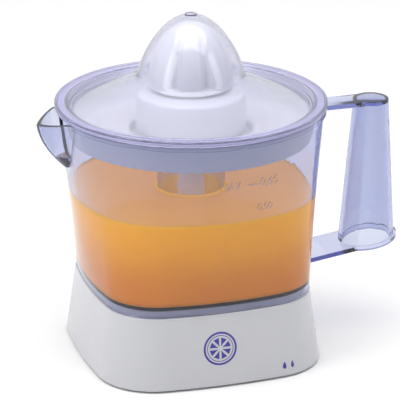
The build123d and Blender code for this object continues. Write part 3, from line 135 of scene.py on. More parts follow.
class PressColours(bpy.types.PropertyGroup):
    """Colours of the press's plastics, metals and juice."""
    housing: colour("Housing", "Glossy white of the motor base", "#BDBEC3")
    cover: colour("Bottom cover", "Cool grey of the bottom cover", "#C9CCD2")
    strainer: colour("Strainer and cone", "White of the parts that touch the fruit", "#D8D9DC")
    jug: colour("Jug", "Tint of the clear jug", "#EFF1F7")
    jug_outer: colour("Spout and handle", "Tint of the jug's spout and handle", "#E4E8F1")
    jug_depth: colour("Jug edges", "Colour that the jug takes where one looks along its wall", "#7C8BDE")
    jug_haze: colour("Jug haze", "Colour that the jug scatters", "#8088BE")
    lid_haze: colour("Lid haze", "Colour that the lid scatters", "#D8DAE6")
    lid: colour("Lid", "Tint of the clear lid", "#FBFBFE")
    lid_ring: colour("Lid ring", "Tint of the lid over the jug's rim", "#CFCBEA")
    juice_top: colour("Juice, top", "Juice near its surface", "#F2AE00")
    juice_low: colour("Juice, bottom", "Juice near the jug's floor", "#D68000")
    juice_surface: colour("Juice surface", "The juice's upper surface, with fine pulp", "#FFAE38")
    print_ink: colour("Print", "Blue-violet ink of the emblem", "#3A3290")
    steel: colour("Steel", "Zinc-plated steel", "#B9BCC2")
    rubber: colour("Rubber", "Soft feet, seal and gland", "#4A4C52")


class PressSizes(bpy.types.PropertyGroup):
    """Sizes of what is added to the moulded parts."""
    juice_level: length("Juice level", "Height of the juice's surface above the worktop", 86.0 * MM)
    meniscus: length("Meniscus", "How far the juice climbs the wall", 0.8 * MM)
    mark_raise: length("Mark height", "How far the moulded scale stands out of the jug's wall", 0.25 * MM)
    ink_raise: length("Ink thickness", "How far the printed emblem stands out of the housing", 0.03 * MM)


# ------------------------------------------------------------------ shapes

def bowed_square(turn, half, bow, corner):
    """Points on a square with bowed sides and round corners, tangent to each other.

    turn runs from 0 to 8 round the outline, two steps to a quarter: the even steps are side arcs of radius
    bow centred on an axis at bow - half behind the origin, the odd ones corner arcs of radius corner centred
    on a diagonal. The point is centre + radius * (cos a, sin a), turned by the quarter's 90 degrees.
    """
    turn = np.asarray(turn, float) % 8
    behind = bow - half
    reach = bow - corner
    diagonal = (math.sqrt(2 * reach ** 2 - behind ** 2) - behind) / 2
    swing = math.atan2(diagonal, diagonal + behind)
    spin = np.floor(turn / 2) * (math.pi / 2)
    on_corner = np.floor(turn) % 2 == 1
    part = turn - np.floor(turn)
    angle = np.where(on_corner, swing + (math.pi / 2 - 2 * swing) * part, swing * (2 * part - 1))
    radius = np.where(on_corner, corner, bow)
    x = np.where(on_corner, diagonal, -behind) + radius * np.cos(angle)
    y = np.where(on_corner, diagonal, 0.0) + radius * np.sin(angle)
    return x * np.cos(spin) - y * np.sin(spin), x * np.sin(spin) + y * np.cos(spin)


def jug_wall(turn, height, inset=0.0):
    """A point on the jug's wall: (1 - k) times the foot's bowed square plus k times the rim's circle.

    k is the share of the height between foot and rim. The circle's angle is 30 degrees either side of an
    axis for a side arc and the 30 degrees between for a corner arc. inset moves both outlines inwards.
    """
    turn = np.asarray(turn, float) % 8
    half, bow, corner = JUG_FOOT
    x, y = bowed_square(turn, half - inset, bow - inset, corner - inset)
    part = turn - np.floor(turn)
    spin = np.floor(turn / 2) * (math.pi / 2)
    on_corner = np.floor(turn) % 2 == 1
    angle = spin + np.where(on_corner, math.radians(30) * (1 + part), math.radians(30) * (2 * part - 1))
    k = (height - JUG_FOOT_Z) / (JUG_TOP_Z - JUG_FOOT_Z)
    rim = JUG_TOP_RADIUS - inset
    return np.stack([(1 - k) * x + k * rim * np.cos(angle), (1 - k) * y + k * rim * np.sin(angle),
                     height + 0.0 * x], -1)


def housing_wall(turn, height):
    """A point on the housing's wall: a bowed square whose sizes go evenly from lower edge to ledge."""
    k = (np.asarray(height, float) - HOUSING_FOOT_Z) / (HOUSING_LEDGE_Z - HOUSING_FOOT_Z)
    low = np.stack(bowed_square(turn, *HOUSING_FOOT), -1)
    top = np.stack(bowed_square(turn, *HOUSING_TOP), -1)
    flat = (1 - k)[..., None] * low + k[..., None] * top
    return np.concatenate([flat, np.asarray(height, float)[..., None]], -1)


def grid_faces(rows, columns, closed_rows, closed_columns):
    """Quads of a grid of points, with the last row or column joined to the first if it is closed."""
    i = np.arange(rows if closed_rows else rows - 1)[:, None]
    j = np.arange(columns if closed_columns else columns - 1)[None, :]
    a = i * columns + j
    b = i * columns + (j + 1) % columns
    c = ((i + 1) % rows) * columns + (j + 1) % columns
    d = ((i + 1) % rows) * columns + j
    return np.stack([a, b, c, d], -1).reshape(-1, 4)


def piece_from(name, points, faces, material, body, smooth=True):
    """A mesh piece from an array of points and one of faces, with its finish and its body."""
    mesh = bpy.data.meshes.new(name)
    mesh.from_pydata(points.reshape(-1, 3).tolist(), [], faces.tolist())
    mesh.validate()
    mesh.polygons.foreach_set("use_smooth", np.full(len(mesh.polygons), smooth))
    mesh.update()
    piece = bpy.data.objects.new(name, mesh)
    bpy.context.scene.collection.objects.link(piece)
    mesh.materials.append(material)
    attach(piece, body)
    return piece


def refined(node, name, material, body, sharp=30.0):
    """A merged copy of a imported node, smooth up to the sharp angle in degrees; it stands for the node."""
    piece = NODES[node].copy()
    piece.data = NODES[node].data.copy()
    piece.name = name
    piece.parent = None
    bpy.context.scene.collection.objects.link(piece)
    merge = piece.modifiers.new("Merge", "WELD")
    merge.merge_threshold = 2e-6
    depsgraph = bpy.context.evaluated_depsgraph_get()
    mesh = bpy.data.meshes.new_from_object(piece.evaluated_get(depsgraph))
    piece.modifiers.clear()
    piece.data = mesh
    mesh.name = name
    if mesh.attributes.get("custom_normal"):
        mesh.attributes.remove(mesh.attributes["custom_normal"])
    mesh.polygons.foreach_set("use_smooth", np.ones(len(mesh.polygons), bool))
    mesh.set_sharp_from_angle(angle=math.radians(sharp))
    mesh.materials.clear()
    mesh.materials.append(material)
    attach(piece, body)
    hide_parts(node)
    return piece


def coat(node, material):
    """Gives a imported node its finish."""
    mesh = NODES[node].data
    mesh.materials.clear()
    mesh.materials.append(material)


def rounded(corners, radii, steps=5):
    """A polyline with its corners rounded: round each one a parabola from a point radius before it to one
    radius after it, (1 - t)^2 * before + 2 t (1 - t) * corner + t^2 * after, no further than half a side.
    Points that fall together are kept once."""
    corners = np.asarray(corners, float)
    t = np.linspace(0.0, 1.0, steps)[:, None]
    pieces = [corners[:1]]
    for before, corner, after, radius in zip(corners[:-2], corners[1:-1], corners[2:], radii):
        back, ahead = before - corner, after - corner
        near, far = np.linalg.norm(back), np.linalg.norm(ahead)
        start = corner + back * min(radius / near, 0.5)
        end = corner + ahead * min(radius / far, 0.5)
        pieces.append((1 - t) ** 2 * start + 2 * t * (1 - t) * corner + t ** 2 * end)
    points = np.concatenate(pieces + [corners[-1:]])
    apart = np.linalg.norm(np.diff(points, axis=0), axis=1) > 1e-6
    return points[np.concatenate([[True], apart])]


def lathed(radii, heights, low_pole, high_pole):
    """A closed surface round Z from arrays of radii and heights, a row to a ring, from pole to pole.

    Point (i, j) is (r_ij cos a_j, r_ij sin a_j, z_ij), where a_j is the share j of a full turn. Each pole is
    a single point on the axis.
    """
    rows, segments = radii.shape
    angle = np.linspace(0.0, 2 * math.pi, segments, endpoint=False)
    rings = np.stack([radii * np.cos(angle), radii * np.sin(angle), heights], -1).reshape(-1, 3)
    points = np.concatenate([rings, [[0.0, 0.0, high_pole], [0.0, 0.0, low_pole]]])
    quads = grid_faces(rows, segments, False, True)[:, ::-1]
    ring = np.arange(segments)
    onward = (ring + 1) % segments
    last = (rows - 1) * segments
    first_fan = np.stack([np.full(segments, len(rings)), ring, onward], 1)
    last_fan = np.stack([np.full(segments, len(rings) + 1), last + onward, last + ring], 1)
    return points, quads, np.concatenate([first_fan, last_fan])


def turned_piece(name, radii, heights, poles, material, body, node, sharp=40.0):
    """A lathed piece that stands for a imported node, smooth up to the sharp angle in degrees."""
    points, quads, fans = lathed(radii, heights, *poles)
    mesh = bpy.data.meshes.new(name)
    mesh.from_pydata(points.tolist(), [], quads.tolist() + fans.tolist())
    mesh.validate()
    mesh.polygons.foreach_set("use_smooth", np.ones(len(mesh.polygons), bool))
    mesh.set_sharp_from_angle(angle=math.radians(sharp))
    mesh.materials.append(material)
    piece = bpy.data.objects.new(name, mesh)
    bpy.context.scene.collection.objects.link(piece)
    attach(piece, body)
    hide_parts(node)
    return piece


# ------------------------------------------------------------------ finishes

def add_node(tree, kind, inputs=None, **settings):
    """Adds a node, sets its settings, and sets or links each of its inputs."""
    node = tree.nodes.new("ShaderNode" + kind)
    for key, value in settings.items():
        setattr(node, key, value)
    for key, value in (inputs or {}).items():
        if isinstance(value, bpy.types.NodeSocket):
            tree.links.new(value, node.inputs[key])
        else:
            node.inputs[key].default_value = value
    return node


def new_finish(name):
    """An empty material with its output, object coordinates in metres and a Principled shader."""
    material = bpy.data.materials.new(name)
    material.use_nodes = True
    tree = material.node_tree
    tree.nodes.clear()
    output = add_node(tree, "OutputMaterial")
    shader = add_node(tree, "BsdfPrincipled")
    tree.links.new(shader.outputs["BSDF"], output.inputs["Surface"])
    where = add_node(tree, "TexCoord").outputs["Object"]
    return material, tree, shader, output, where


def grain(tree, where, size, detail=3.0, roughness=0.5):
    """Noise whose features are about size metres across."""
    return add_node(tree, "TexNoise", {"Vector": where, "Scale": 1.0 / size, "Detail": detail,
                                       "Roughness": roughness}).outputs["Fac"]


def waves_along(tree, where, axis, spacing, distortion):
    """A sine wave along an axis, its crests spacing metres apart; the node's own wave is 2 pi / 20 long."""
    return add_node(tree, "TexWave", {"Vector": where, "Scale": 2 * math.pi / spacing / 20,
                                      "Distortion": distortion},
                    bands_direction=axis, wave_profile="SIN").outputs["Fac"]


def spread(tree, value, low, high):
    """Maps a 0 to 1 value to the range from low to high."""
    return add_node(tree, "MapRange", {"Value": value, "To Min": low, "To Max": high}).outputs["Result"]


def blend_of(tree, factor, one, other):
    """Mixes two colours by a factor."""
    node = add_node(tree, "Mix", data_type="RGBA")
    tree.links.new(factor, node.inputs["Factor"])
    for socket, value in (("A", one), ("B", other)):
        target = [s for s in node.inputs if s.name == socket and s.type == "RGBA"][0]
        if isinstance(value, bpy.types.NodeSocket):
            tree.links.new(value, target)
        else:
            target.default_value = (*value, 1.0)
    return [s for s in node.outputs if s.type == "RGBA"][0]


def bump_of(tree, height, distance, strength=1.0, normal=None):
    """A bump from a 0 to 1 height map that is distance metres deep."""
    inputs = {"Height": height, "Distance": distance, "Strength": strength}
    if normal is not None:
        inputs["Normal"] = normal
    return add_node(tree, "Bump", inputs).outputs["Normal"]


def shade(rgb, factor):
    """A colour made darker or lighter by a factor."""
    return tuple(min(1.0, c * factor) for c in rgb)


def moulded_plastic(name, rgb, roughness, orange_peel=0.000012, soft=0.0, edge=0.0003, coat=0.0, glow=0.0):
    """Injection-moulded opaque plastic: faint flow marks in the colour, a fine orange peel, rounded edges.

    The flow marks are 30 mm noise, the sheen varies over 8 mm, and the peel is 0.7 mm noise some hundredths
    of a millimetre deep. The last argument is painted light: the piece glows in its own colour, standing in
    for the light that would reach it through the juice round it.
    """
    material, tree, shader, output, where = new_finish(name)
    flow = grain(tree, where, 0.030, 4.0, 0.6)
    colour_value = blend_of(tree, flow, shade(rgb, 0.965), shade(rgb, 1.02))
    tree.links.new(colour_value, shader.inputs["Base Color"])
    sheen = spread(tree, grain(tree, where, 0.008, 3.0), roughness * 0.85, roughness * 1.2)
    tree.links.new(sheen, shader.inputs["Roughness"])
    soft_edges = add_node(tree, "Bevel", {"Radius": edge}, samples=4).outputs["Normal"]
    peel = grain(tree, where, 0.0007, 2.0)
    tree.links.new(bump_of(tree, peel, orange_peel, 1.0, soft_edges), shader.inputs["Normal"])
    shader.inputs["IOR"].default_value = 1.53
    shader.inputs["Coat Weight"].default_value = coat
    shader.inputs["Coat Roughness"].default_value = 0.08
    # painted light: an emission in the piece's own colour makes it glow
    shader.inputs["Emission Color"].default_value = (*rgb, 1.0)
    shader.inputs["Emission Strength"].default_value = glow
    if soft:
        shader.inputs["Subsurface Weight"].default_value = soft
        shader.inputs["Subsurface Radius"].default_value = (0.0022, 0.0020, 0.0018)
        shader.inputs["Subsurface Scale"].default_value = 1.0
    return material


def outward(tree, where, start, end):
    """A value that goes smoothly from 0 to 1 between two distances from the upright axis."""
    level_only = add_node(tree, "VectorMath", {0: where, 1: (1.0, 1.0, 0.0)}, operation="MULTIPLY").outputs[0]
    reach = add_node(tree, "VectorMath", {0: level_only}, operation="LENGTH").outputs["Value"]
    return add_node(tree, "MapRange", {"Value": reach, "From Min": start, "From Max": end},
                    interpolation_type="SMOOTHSTEP").outputs["Result"]


def clear_plastic(name, tints, depth_rgb, density, haze_rgb, haze, roughness=0.03, ior=1.57):
    """Clear moulded styrene: light is bent by its surfaces and takes the depth colour inside the wall.

    The surface has slow 14 mm waves from the mould and a fine sheen variation; the wall absorbs what the
    depth colour lacks, density times the way through it in metres. tints is a first tint, and then further
    ones, each with the two distances from the upright axis over which it takes over. A share of haze
    scatters light in its own colour. Lamps shine through it onto what is inside.
    """
    material, tree, shader, output, where = new_finish(name)
    tint = tints[0]
    for further, start, end in tints[1:]:
        tint = blend_of(tree, outward(tree, where, start, end), tint, further)
    flow = grain(tree, where, 0.040, 2.0)
    tree.links.new(blend_of(tree, spread(tree, flow, 0.0, 0.06), tint, shade(tints[-1][0], 0.8)),
                   shader.inputs["Base Color"])
    tree.links.new(spread(tree, grain(tree, where, 0.006, 3.0), roughness * 0.6, roughness * 1.5),
                   shader.inputs["Roughness"])
    shader.inputs["IOR"].default_value = ior
    shader.inputs["Transmission Weight"].default_value = 1.0
    waves = grain(tree, where, 0.014, 1.0)
    tree.links.new(bump_of(tree, waves, 0.00006), shader.inputs["Normal"])
    inside = add_node(tree, "VolumeAbsorption", {"Color": (*depth_rgb, 1.0), "Density": density})
    tree.links.new(inside.outputs["Volume"], output.inputs["Volume"])
    lamps = add_node(tree, "BsdfTransparent", {"Color": (0.95, 0.95, 0.95, 1.0)})
    veil = add_node(tree, "BsdfDiffuse", {"Color": (*haze_rgb, 1.0)})
    hazy = add_node(tree, "MixShader", {0: haze, 1: shader.outputs["BSDF"], 2: veil.outputs["BSDF"]})
    either = add_node(tree, "MixShader", {0: add_node(tree, "LightPath").outputs["Is Shadow Ray"],
                                          1: hazy.outputs["Shader"], 2: lamps.outputs["BSDF"]})
    tree.links.new(either.outputs["Shader"], output.inputs["Surface"])
    return material


def juice_body_finish(name, top_rgb, low_rgb, level, floor):
    """Orange juice against the wall: height mixes the low and top colours, and 12 mm noise clouds them.

    Light spreads a few millimetres in it. Painted light makes it glow in its own colour, most at the chimney,
    standing in for what would come through from the far side.
    """
    material, tree, shader, output, where = new_finish(name)
    split = add_node(tree, "SeparateXYZ", {"Vector": where})
    height = add_node(tree, "MapRange", {"Value": split.outputs["Z"], "From Min": floor, "From Max": level},
                      interpolation_type="SMOOTHSTEP").outputs["Result"]
    clouds = grain(tree, where, 0.012, 5.0, 0.65)
    cloudy = add_node(tree, "Math", {0: height, 1: spread(tree, clouds, -0.18, 0.18)}, operation="ADD",
                      use_clamp=True).outputs[0]
    tint = blend_of(tree, cloudy, low_rgb, top_rgb)
    tree.links.new(tint, shader.inputs["Base Color"])
    # painted light: the juice glows in its own colour, strongest near the chimney
    tree.links.new(tint, shader.inputs["Emission Color"])
    painted_chimney_glow = spread(tree, outward(tree, where, 0.019, 0.026), 0.75, 0.16)
    tree.links.new(painted_chimney_glow, shader.inputs["Emission Strength"])
    tree.links.new(spread(tree, clouds, 0.35, 0.5), shader.inputs["Roughness"])
    tree.links.new(bump_of(tree, clouds, 0.00003), shader.inputs["Normal"])
    shader.inputs["IOR"].default_value = 1.35
    shader.inputs["Specular IOR Level"].default_value = 0.1
    shader.inputs["Subsurface Weight"].default_value = 0.2
    shader.inputs["Subsurface Radius"].default_value = (0.007, 0.004, 0.0005)
    shader.inputs["Subsurface Scale"].default_value = 1.0
    return material


def juice_surface_finish(name, rgb):
    """The juice's free surface: wet and nearly still, with 2 mm pulp, a few small bubbles and a painted glow.
    """
    material, tree, shader, output, where = new_finish(name)
    pulp = grain(tree, where, 0.0022, 6.0, 0.7)
    cells = add_node(tree, "TexVoronoi", {"Vector": where, "Scale": 1 / 0.0016},
                     feature="F1").outputs["Distance"]
    tint = blend_of(tree, pulp, shade(rgb, 0.85), shade(rgb, 1.1))
    tree.links.new(tint, shader.inputs["Base Color"])
    # painted light: the surface glows in its own colour
    tree.links.new(tint, shader.inputs["Emission Color"])
    shader.inputs["Emission Strength"].default_value = 0.42
    tree.links.new(spread(tree, pulp, 0.02, 0.06), shader.inputs["Roughness"])
    tree.links.new(bump_of(tree, cells, 0.00001, 0.3, bump_of(tree, pulp, 0.000008)), shader.inputs["Normal"])
    shader.inputs["IOR"].default_value = 1.35
    shader.inputs["Subsurface Weight"].default_value = 0.2
    shader.inputs["Subsurface Radius"].default_value = (0.007, 0.004, 0.0005)
    shader.inputs["Subsurface Scale"].default_value = 1.0
    return material


def rubber_finish(name, rgb):
    """Soft rubber: matt, with 0.4 mm grain, slightly dusty."""
    material, tree, shader, output, where = new_finish(name)
    dust = grain(tree, where, 0.005, 6.0, 0.7)
    tree.links.new(blend_of(tree, dust, shade(rgb, 0.8), shade(rgb, 1.25)), shader.inputs["Base Color"])
    tree.links.new(spread(tree, dust, 0.62, 0.85), shader.inputs["Roughness"])
    tree.links.new(bump_of(tree, grain(tree, where, 0.0004, 3.0), 0.00004), shader.inputs["Normal"])
    shader.inputs["IOR"].default_value = 1.52
    return material


def metal_finish(name, rgb, roughness, stretch=(1.0, 1.0, 1.0), size=0.0008, patina=0.12):
    """Metal with a directional grain: noise stretched along one axis drives roughness and a shallow bump.

    A 10 mm noise adds a light patina to the colour.
    """
    material, tree, shader, output, where = new_finish(name)
    run = add_node(tree, "Mapping", {"Vector": where, "Scale": stretch}).outputs["Vector"]
    lines = grain(tree, run, size, 4.0, 0.6)
    stain = grain(tree, where, 0.010, 5.0, 0.6)
    tint = blend_of(tree, stain, shade(rgb, 1.0 - patina), rgb)
    tree.links.new(tint, shader.inputs["Base Color"])
    tree.links.new(spread(tree, lines, roughness * 0.7, roughness * 1.4), shader.inputs["Roughness"])
    tree.links.new(bump_of(tree, lines, 0.00002), shader.inputs["Normal"])
    shader.inputs["Metallic"].default_value = 1.0
    return material


def stack_finish(name, rgb):
    """A stack of 0.5 mm steel sheets: a wave along Z gives each one's edge, with dark oxide between."""
    material, tree, shader, output, where = new_finish(name)
    sheets = waves_along(tree, where, "Z", 0.0005, 0.0)
    oxide = grain(tree, where, 0.004, 5.0)
    tree.links.new(blend_of(tree, sheets, shade(rgb, 0.55), rgb), shader.inputs["Base Color"])
    tree.links.new(spread(tree, oxide, 0.35, 0.6), shader.inputs["Roughness"])
    tree.links.new(bump_of(tree, sheets, 0.00005), shader.inputs["Normal"])
    shader.inputs["Metallic"].default_value = 0.9
    return material


def winding_finish(name, rgb):
    """Enamelled wire wound in turns: a wave every 0.4 mm along X gives the wires, under a clear varnish, with
    painted shade in the grooves between turns.
    """
    material, tree, shader, output, where = new_finish(name)
    turns = waves_along(tree, where, "X", 0.0004, 0.3)
    # painted shade: the colour darkens to half in the grooves between turns
    tree.links.new(blend_of(tree, turns, shade(rgb, 0.5), rgb), shader.inputs["Base Color"])
    tree.links.new(spread(tree, turns, 0.45, 0.25), shader.inputs["Roughness"])
    tree.links.new(bump_of(tree, turns, 0.00008), shader.inputs["Normal"])
    shader.inputs["Metallic"].default_value = 0.8
    shader.inputs["Coat Weight"].default_value = 0.6
    shader.inputs["Coat Roughness"].default_value = 0.15
    return material


def ink_finish(name, rgb):
    """Pad-printed ink: an even colour with slight density changes over 1 mm and a satin surface."""
    material, tree, shader, output, where = new_finish(name)
    density = grain(tree, where, 0.001, 4.0)
    tree.links.new(blend_of(tree, density, shade(rgb, 0.9), shade(rgb, 1.1)), shader.inputs["Base Color"])
    tree.links.new(spread(tree, density, 0.32, 0.45), shader.inputs["Roughness"])
    tree.links.new(bump_of(tree, density, 0.000008), shader.inputs["Normal"])
    shader.inputs["IOR"].default_value = 1.5
    return material


def colours():
    """The press's colour properties."""
    return bpy.context.scene.press_colours


def sizes():
    """The press's size properties."""
    return bpy.context.scene.press_sizes


def shared(name, maker, *values, **options):
    """The finish of that name, made the first time it is asked for."""
    return bpy.data.materials.get(name) or maker(name, *values, **options)


def jug_plastic():
    """The clear blue-violet styrene of the jug: plain at its chimney, deepest at its spout and handle."""
    c = colours()
    tints = ((1.0, 1.0, 1.0), (tuple(c.jug), 0.024, 0.034), (tuple(c.jug_outer), 0.069, 0.071))
    return shared("Clear jug styrene", clear_plastic, tints, tuple(c.jug_depth), 120.0,
                  tuple(c.jug_haze), 0.02, 0.03)


def white_plastic():
    """The white plastic of the parts that touch the fruit."""
    return shared("White polypropylene", moulded_plastic, tuple(colours().strainer), 0.30, soft=0.12)


# ------------------------------------------------------------------ strokes on curved walls

def stroke_points(path, width):
    """The left and right edges of a stroke along a flat path: each point plus and minus half the width
    times the path's unit normal there, which is its tangent turned by 90 degrees."""
    path = np.asarray(path, float)
    tangent = np.gradient(path, axis=0)
    tangent /= np.linalg.norm(tangent, axis=1, keepdims=True)
    normal = np.stack([-tangent[:, 1], tangent[:, 0]], 1)
    width = np.asarray(width, float) * np.ones(len(path))
    half = normal * width[:, None] / 2
    return path + half, path - half


def stroke_solid(path, width, raised, wall):
    """A raised stroke on a wall: two edges at the wall and two edges standing out, closed at both ends.

    path is a flat drawing in metres across and up; wall(across, up, out) gives the point on the wall,
    moved outwards by out. Each cross-section is the ring low left, high left, high right, low right.
    """
    left, right = stroke_points(path, width)
    sunk = -raised * 0.5 - 0.00001
    ring = np.stack([wall(left[:, 0], left[:, 1], sunk), wall(left[:, 0], left[:, 1], raised),
                     wall(right[:, 0], right[:, 1], raised), wall(right[:, 0], right[:, 1], sunk)], 1)
    rows = len(path)
    faces = grid_faces(rows, 4, False, True)
    last = (rows - 1) * 4
    caps = np.array([[3, 2, 1, 0], [last, last + 1, last + 2, last + 3]])
    return ring.reshape(-1, 3), np.concatenate([faces, caps])


def join_parts(parts):
    """Joins (points, faces) pairs into one, with each part's faces shifted past the points before it."""
    counts = np.cumsum([0] + [len(points) for points, faces in parts])
    return (np.concatenate([points for points, faces in parts]),
            np.concatenate([faces + start for (points, faces), start in zip(parts, counts)]))


def even_path(corners, step):
    """A polyline resampled so that no stretch is longer than step: np.interp along its length."""
    corners = np.asarray(corners, float)
    along = np.concatenate([[0.0], np.cumsum(np.linalg.norm(np.diff(corners, axis=0), axis=1))])
    where = np.linspace(0.0, along[-1], max(3, int(along[-1] / step) + 2))
    return np.stack([np.interp(where, along, corners[:, k]) for k in (0, 1)], 1)


def arc_path(centre, radius, start, end, squash=1.0, steps=24):
    """An arc about centre from the angle start to end in degrees, squashed across by a factor."""
    angle = np.radians(np.linspace(start, end, steps))
    return np.stack([centre[0] + radius * squash * np.cos(angle), centre[1] + radius * np.sin(angle)], 1)


def digit_paths(text, height):
    """Plain drawn digits and letters as open paths in a box one unit high, scaled to height, side by side."""
    oval = arc_path((0.3, 0.5), 0.5, 90, 450, 0.6, 30)
    drawn = {
        "0": [oval],
        "5": [np.concatenate([[(0.55, 1.0), (0.12, 1.0), (0.08, 0.55)],
                              arc_path((0.27, 0.32), 0.32, 120, -140, 0.95)])],
        "6": [np.concatenate([[(0.5, 1.0), (0.15, 0.6)], arc_path((0.3, 0.32), 0.32, 150, 510, 0.9)])],
        ",": [[(0.12, 0.08), (0.02, -0.18)]],
        "M": [[(0.0, 0.0), (0.0, 1.0), (0.35, 0.35), (0.7, 1.0), (0.7, 0.0)]],
        "A": [[(0.0, 0.0), (0.33, 1.0), (0.66, 0.0)], [(0.12, 0.35), (0.54, 0.35)]],
        "X": [[(0.0, 0.0), (0.6, 1.0)], [(0.0, 1.0), (0.6, 0.0)]],
    }
    wide = {"0": 0.8, "5": 0.8, "6": 0.8, ",": 0.3, "M": 0.95, "A": 0.9, "X": 0.85}
    paths = []
    at = 0.0
    for sign in text:
        for path in drawn[sign]:
            paths.append((np.asarray(path, float) + (at, 0.0)) * height)
        at += wide[sign]
    return paths, at * height


def wall_place(wall, turn_at, height_at):
    """A function that puts a flat drawing on a wall, round the point at turn_at and height_at.

    Across is turned into turn by the length of wall that one unit of turn has there, and out follows the
    wall's normal, the cross product of the steps along turn and up.
    """
    step = 1e-3
    turns = np.array([turn_at + step, turn_at - step])
    ahead, behind = wall(turns, np.full(2, height_at))
    per_turn = np.linalg.norm(ahead - behind) / (2 * step)

    def place(across, up, out):
        turn = turn_at + across / per_turn
        height = height_at + up
        around = wall(turn + step, height) - wall(turn - step, height)
        rise = wall(turn, height + NUDGE) - wall(turn, height - NUDGE)
        normal = np.cross(around, rise)
        normal /= np.linalg.norm(normal, axis=-1, keepdims=True)
        return wall(turn, height) + normal * out
    return place


# ------------------------------------------------------------------ operators

class PRESS_OT_base(bpy.types.Operator):
    """Finishes the motor base: housing, bottom cover, feet, screws, gland and seal."""
    bl_idname = "press.base"
    bl_label = "Motor base"

    def execute(self, context):
        c = colours()
        housing = shared("Glossy white housing plastic", moulded_plastic, tuple(c.housing), 0.24,
                         orange_peel=0.000010, soft=0.05, edge=0.0006, coat=0.25)
        refined("base_housing", "motor_housing", housing, "base")
        cover = shared("Grey cover plastic", moulded_plastic, tuple(c.cover), 0.45, orange_peel=0.00004)
        refined("bottom_cover", "housing_cover", cover, "base")
        rubber = shared("Soft dark rubber", rubber_finish, tuple(c.rubber))
        steel = shared("Zinc-plated steel", metal_finish, tuple(c.steel), 0.32)
        feet = [f"rubber_foot_{number}" for number in range(1, 5)]
        for node in (*feet, "cord_gland", "shaft_seal"):
            coat(node, rubber)
        for node in ("cover_screws", "spindle_clip"):
            coat(node, steel)
        spring = refined("return_spring", "press_spring", steel, "base")
        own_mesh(spring)
        return {"FINISHED"}


class PRESS_OT_motor(bpy.types.Operator):
    """Finishes the motor, the gear train, the switch and the terminals inside the base."""
    bl_idname = "press.motor"
    bl_label = "Motor and gears"

    def execute(self, context):
        c = colours()
        steel = shared("Zinc-plated steel", metal_finish, tuple(c.steel), 0.32)
        turned = shared("Turned steel", metal_finish, linear_rgb("#C4C6CB"), 0.2, stretch=(1.0, 1.0, 8.0))
        bronze = shared("Sintered bronze", metal_finish, linear_rgb("#A9793F"), 0.45, size=0.0003, patina=0.3)
        ferrite = shared("Sintered ferrite", metal_finish, linear_rgb("#45464A"), 0.55, size=0.0002,
                         patina=0.3)
        nylon = shared("Black nylon", moulded_plastic, linear_rgb("#1E1F22"), 0.42, orange_peel=0.00003)
        acetal = shared("Natural acetal", moulded_plastic, linear_rgb("#E9E5D8"), 0.33, soft=0.15)
        stack = shared("Steel laminations", stack_finish, linear_rgb("#7C7E84"))
        wire = shared("Enamelled copper wire", winding_finish, linear_rgb("#B5642E"))
        groups = (
            (steel, ("gear_frame", "rotor_bracket", "motor_screws", "frame_screws", "switch_lever")),
            (turned, ("rotor_shaft", "idler_axle")),
            (bronze, ("rotor_bush_upper", "rotor_bush_lower", "gear_bush", "spindle_bush")),
            (ferrite, ("rotor_magnet",)),
            (nylon, ("coil_bobbin_1", "coil_bobbin_2", "switch_body", "terminal_block")),
            (acetal, ("rotor_pinion", "idler_gear", "output_gear")),
            (stack, ("stator_stack",)),
            (wire, ("coil_winding_1", "coil_winding_2")),
        )
        for material, nodes in groups:
            for node in nodes:
                coat(node, material)
        return {"FINISHED"}


class PRESS_OT_jug(bpy.types.Operator):
    """Finishes the clear jug with its spout and handle."""
    bl_idname = "press.jug"
    bl_label = "Jug"

    def execute(self, context):
        refined("jug", "clear_jug", jug_plastic(), "jug")
        return {"FINISHED"}


class PRESS_OT_fruit_parts(bpy.types.Operator):
    """Finishes the strainer and the drive spindle."""
    bl_idname = "press.fruit_parts"
    bl_label = "Strainer and spindle"

    def execute(self, context):
        refined("strainer", "slotted_strainer", white_plastic(), "jug")
        # painted light: the spindle glows a little in its own colour, for light that would reach it inside
        # the chimney
        bright = shared("White spindle plastic", moulded_plastic, linear_rgb("#EDE4DC"), 0.3, soft=0.3,
                        glow=0.22)
        refined("drive_spindle", "white_spindle", bright, "spindle")
        return {"FINISHED"}


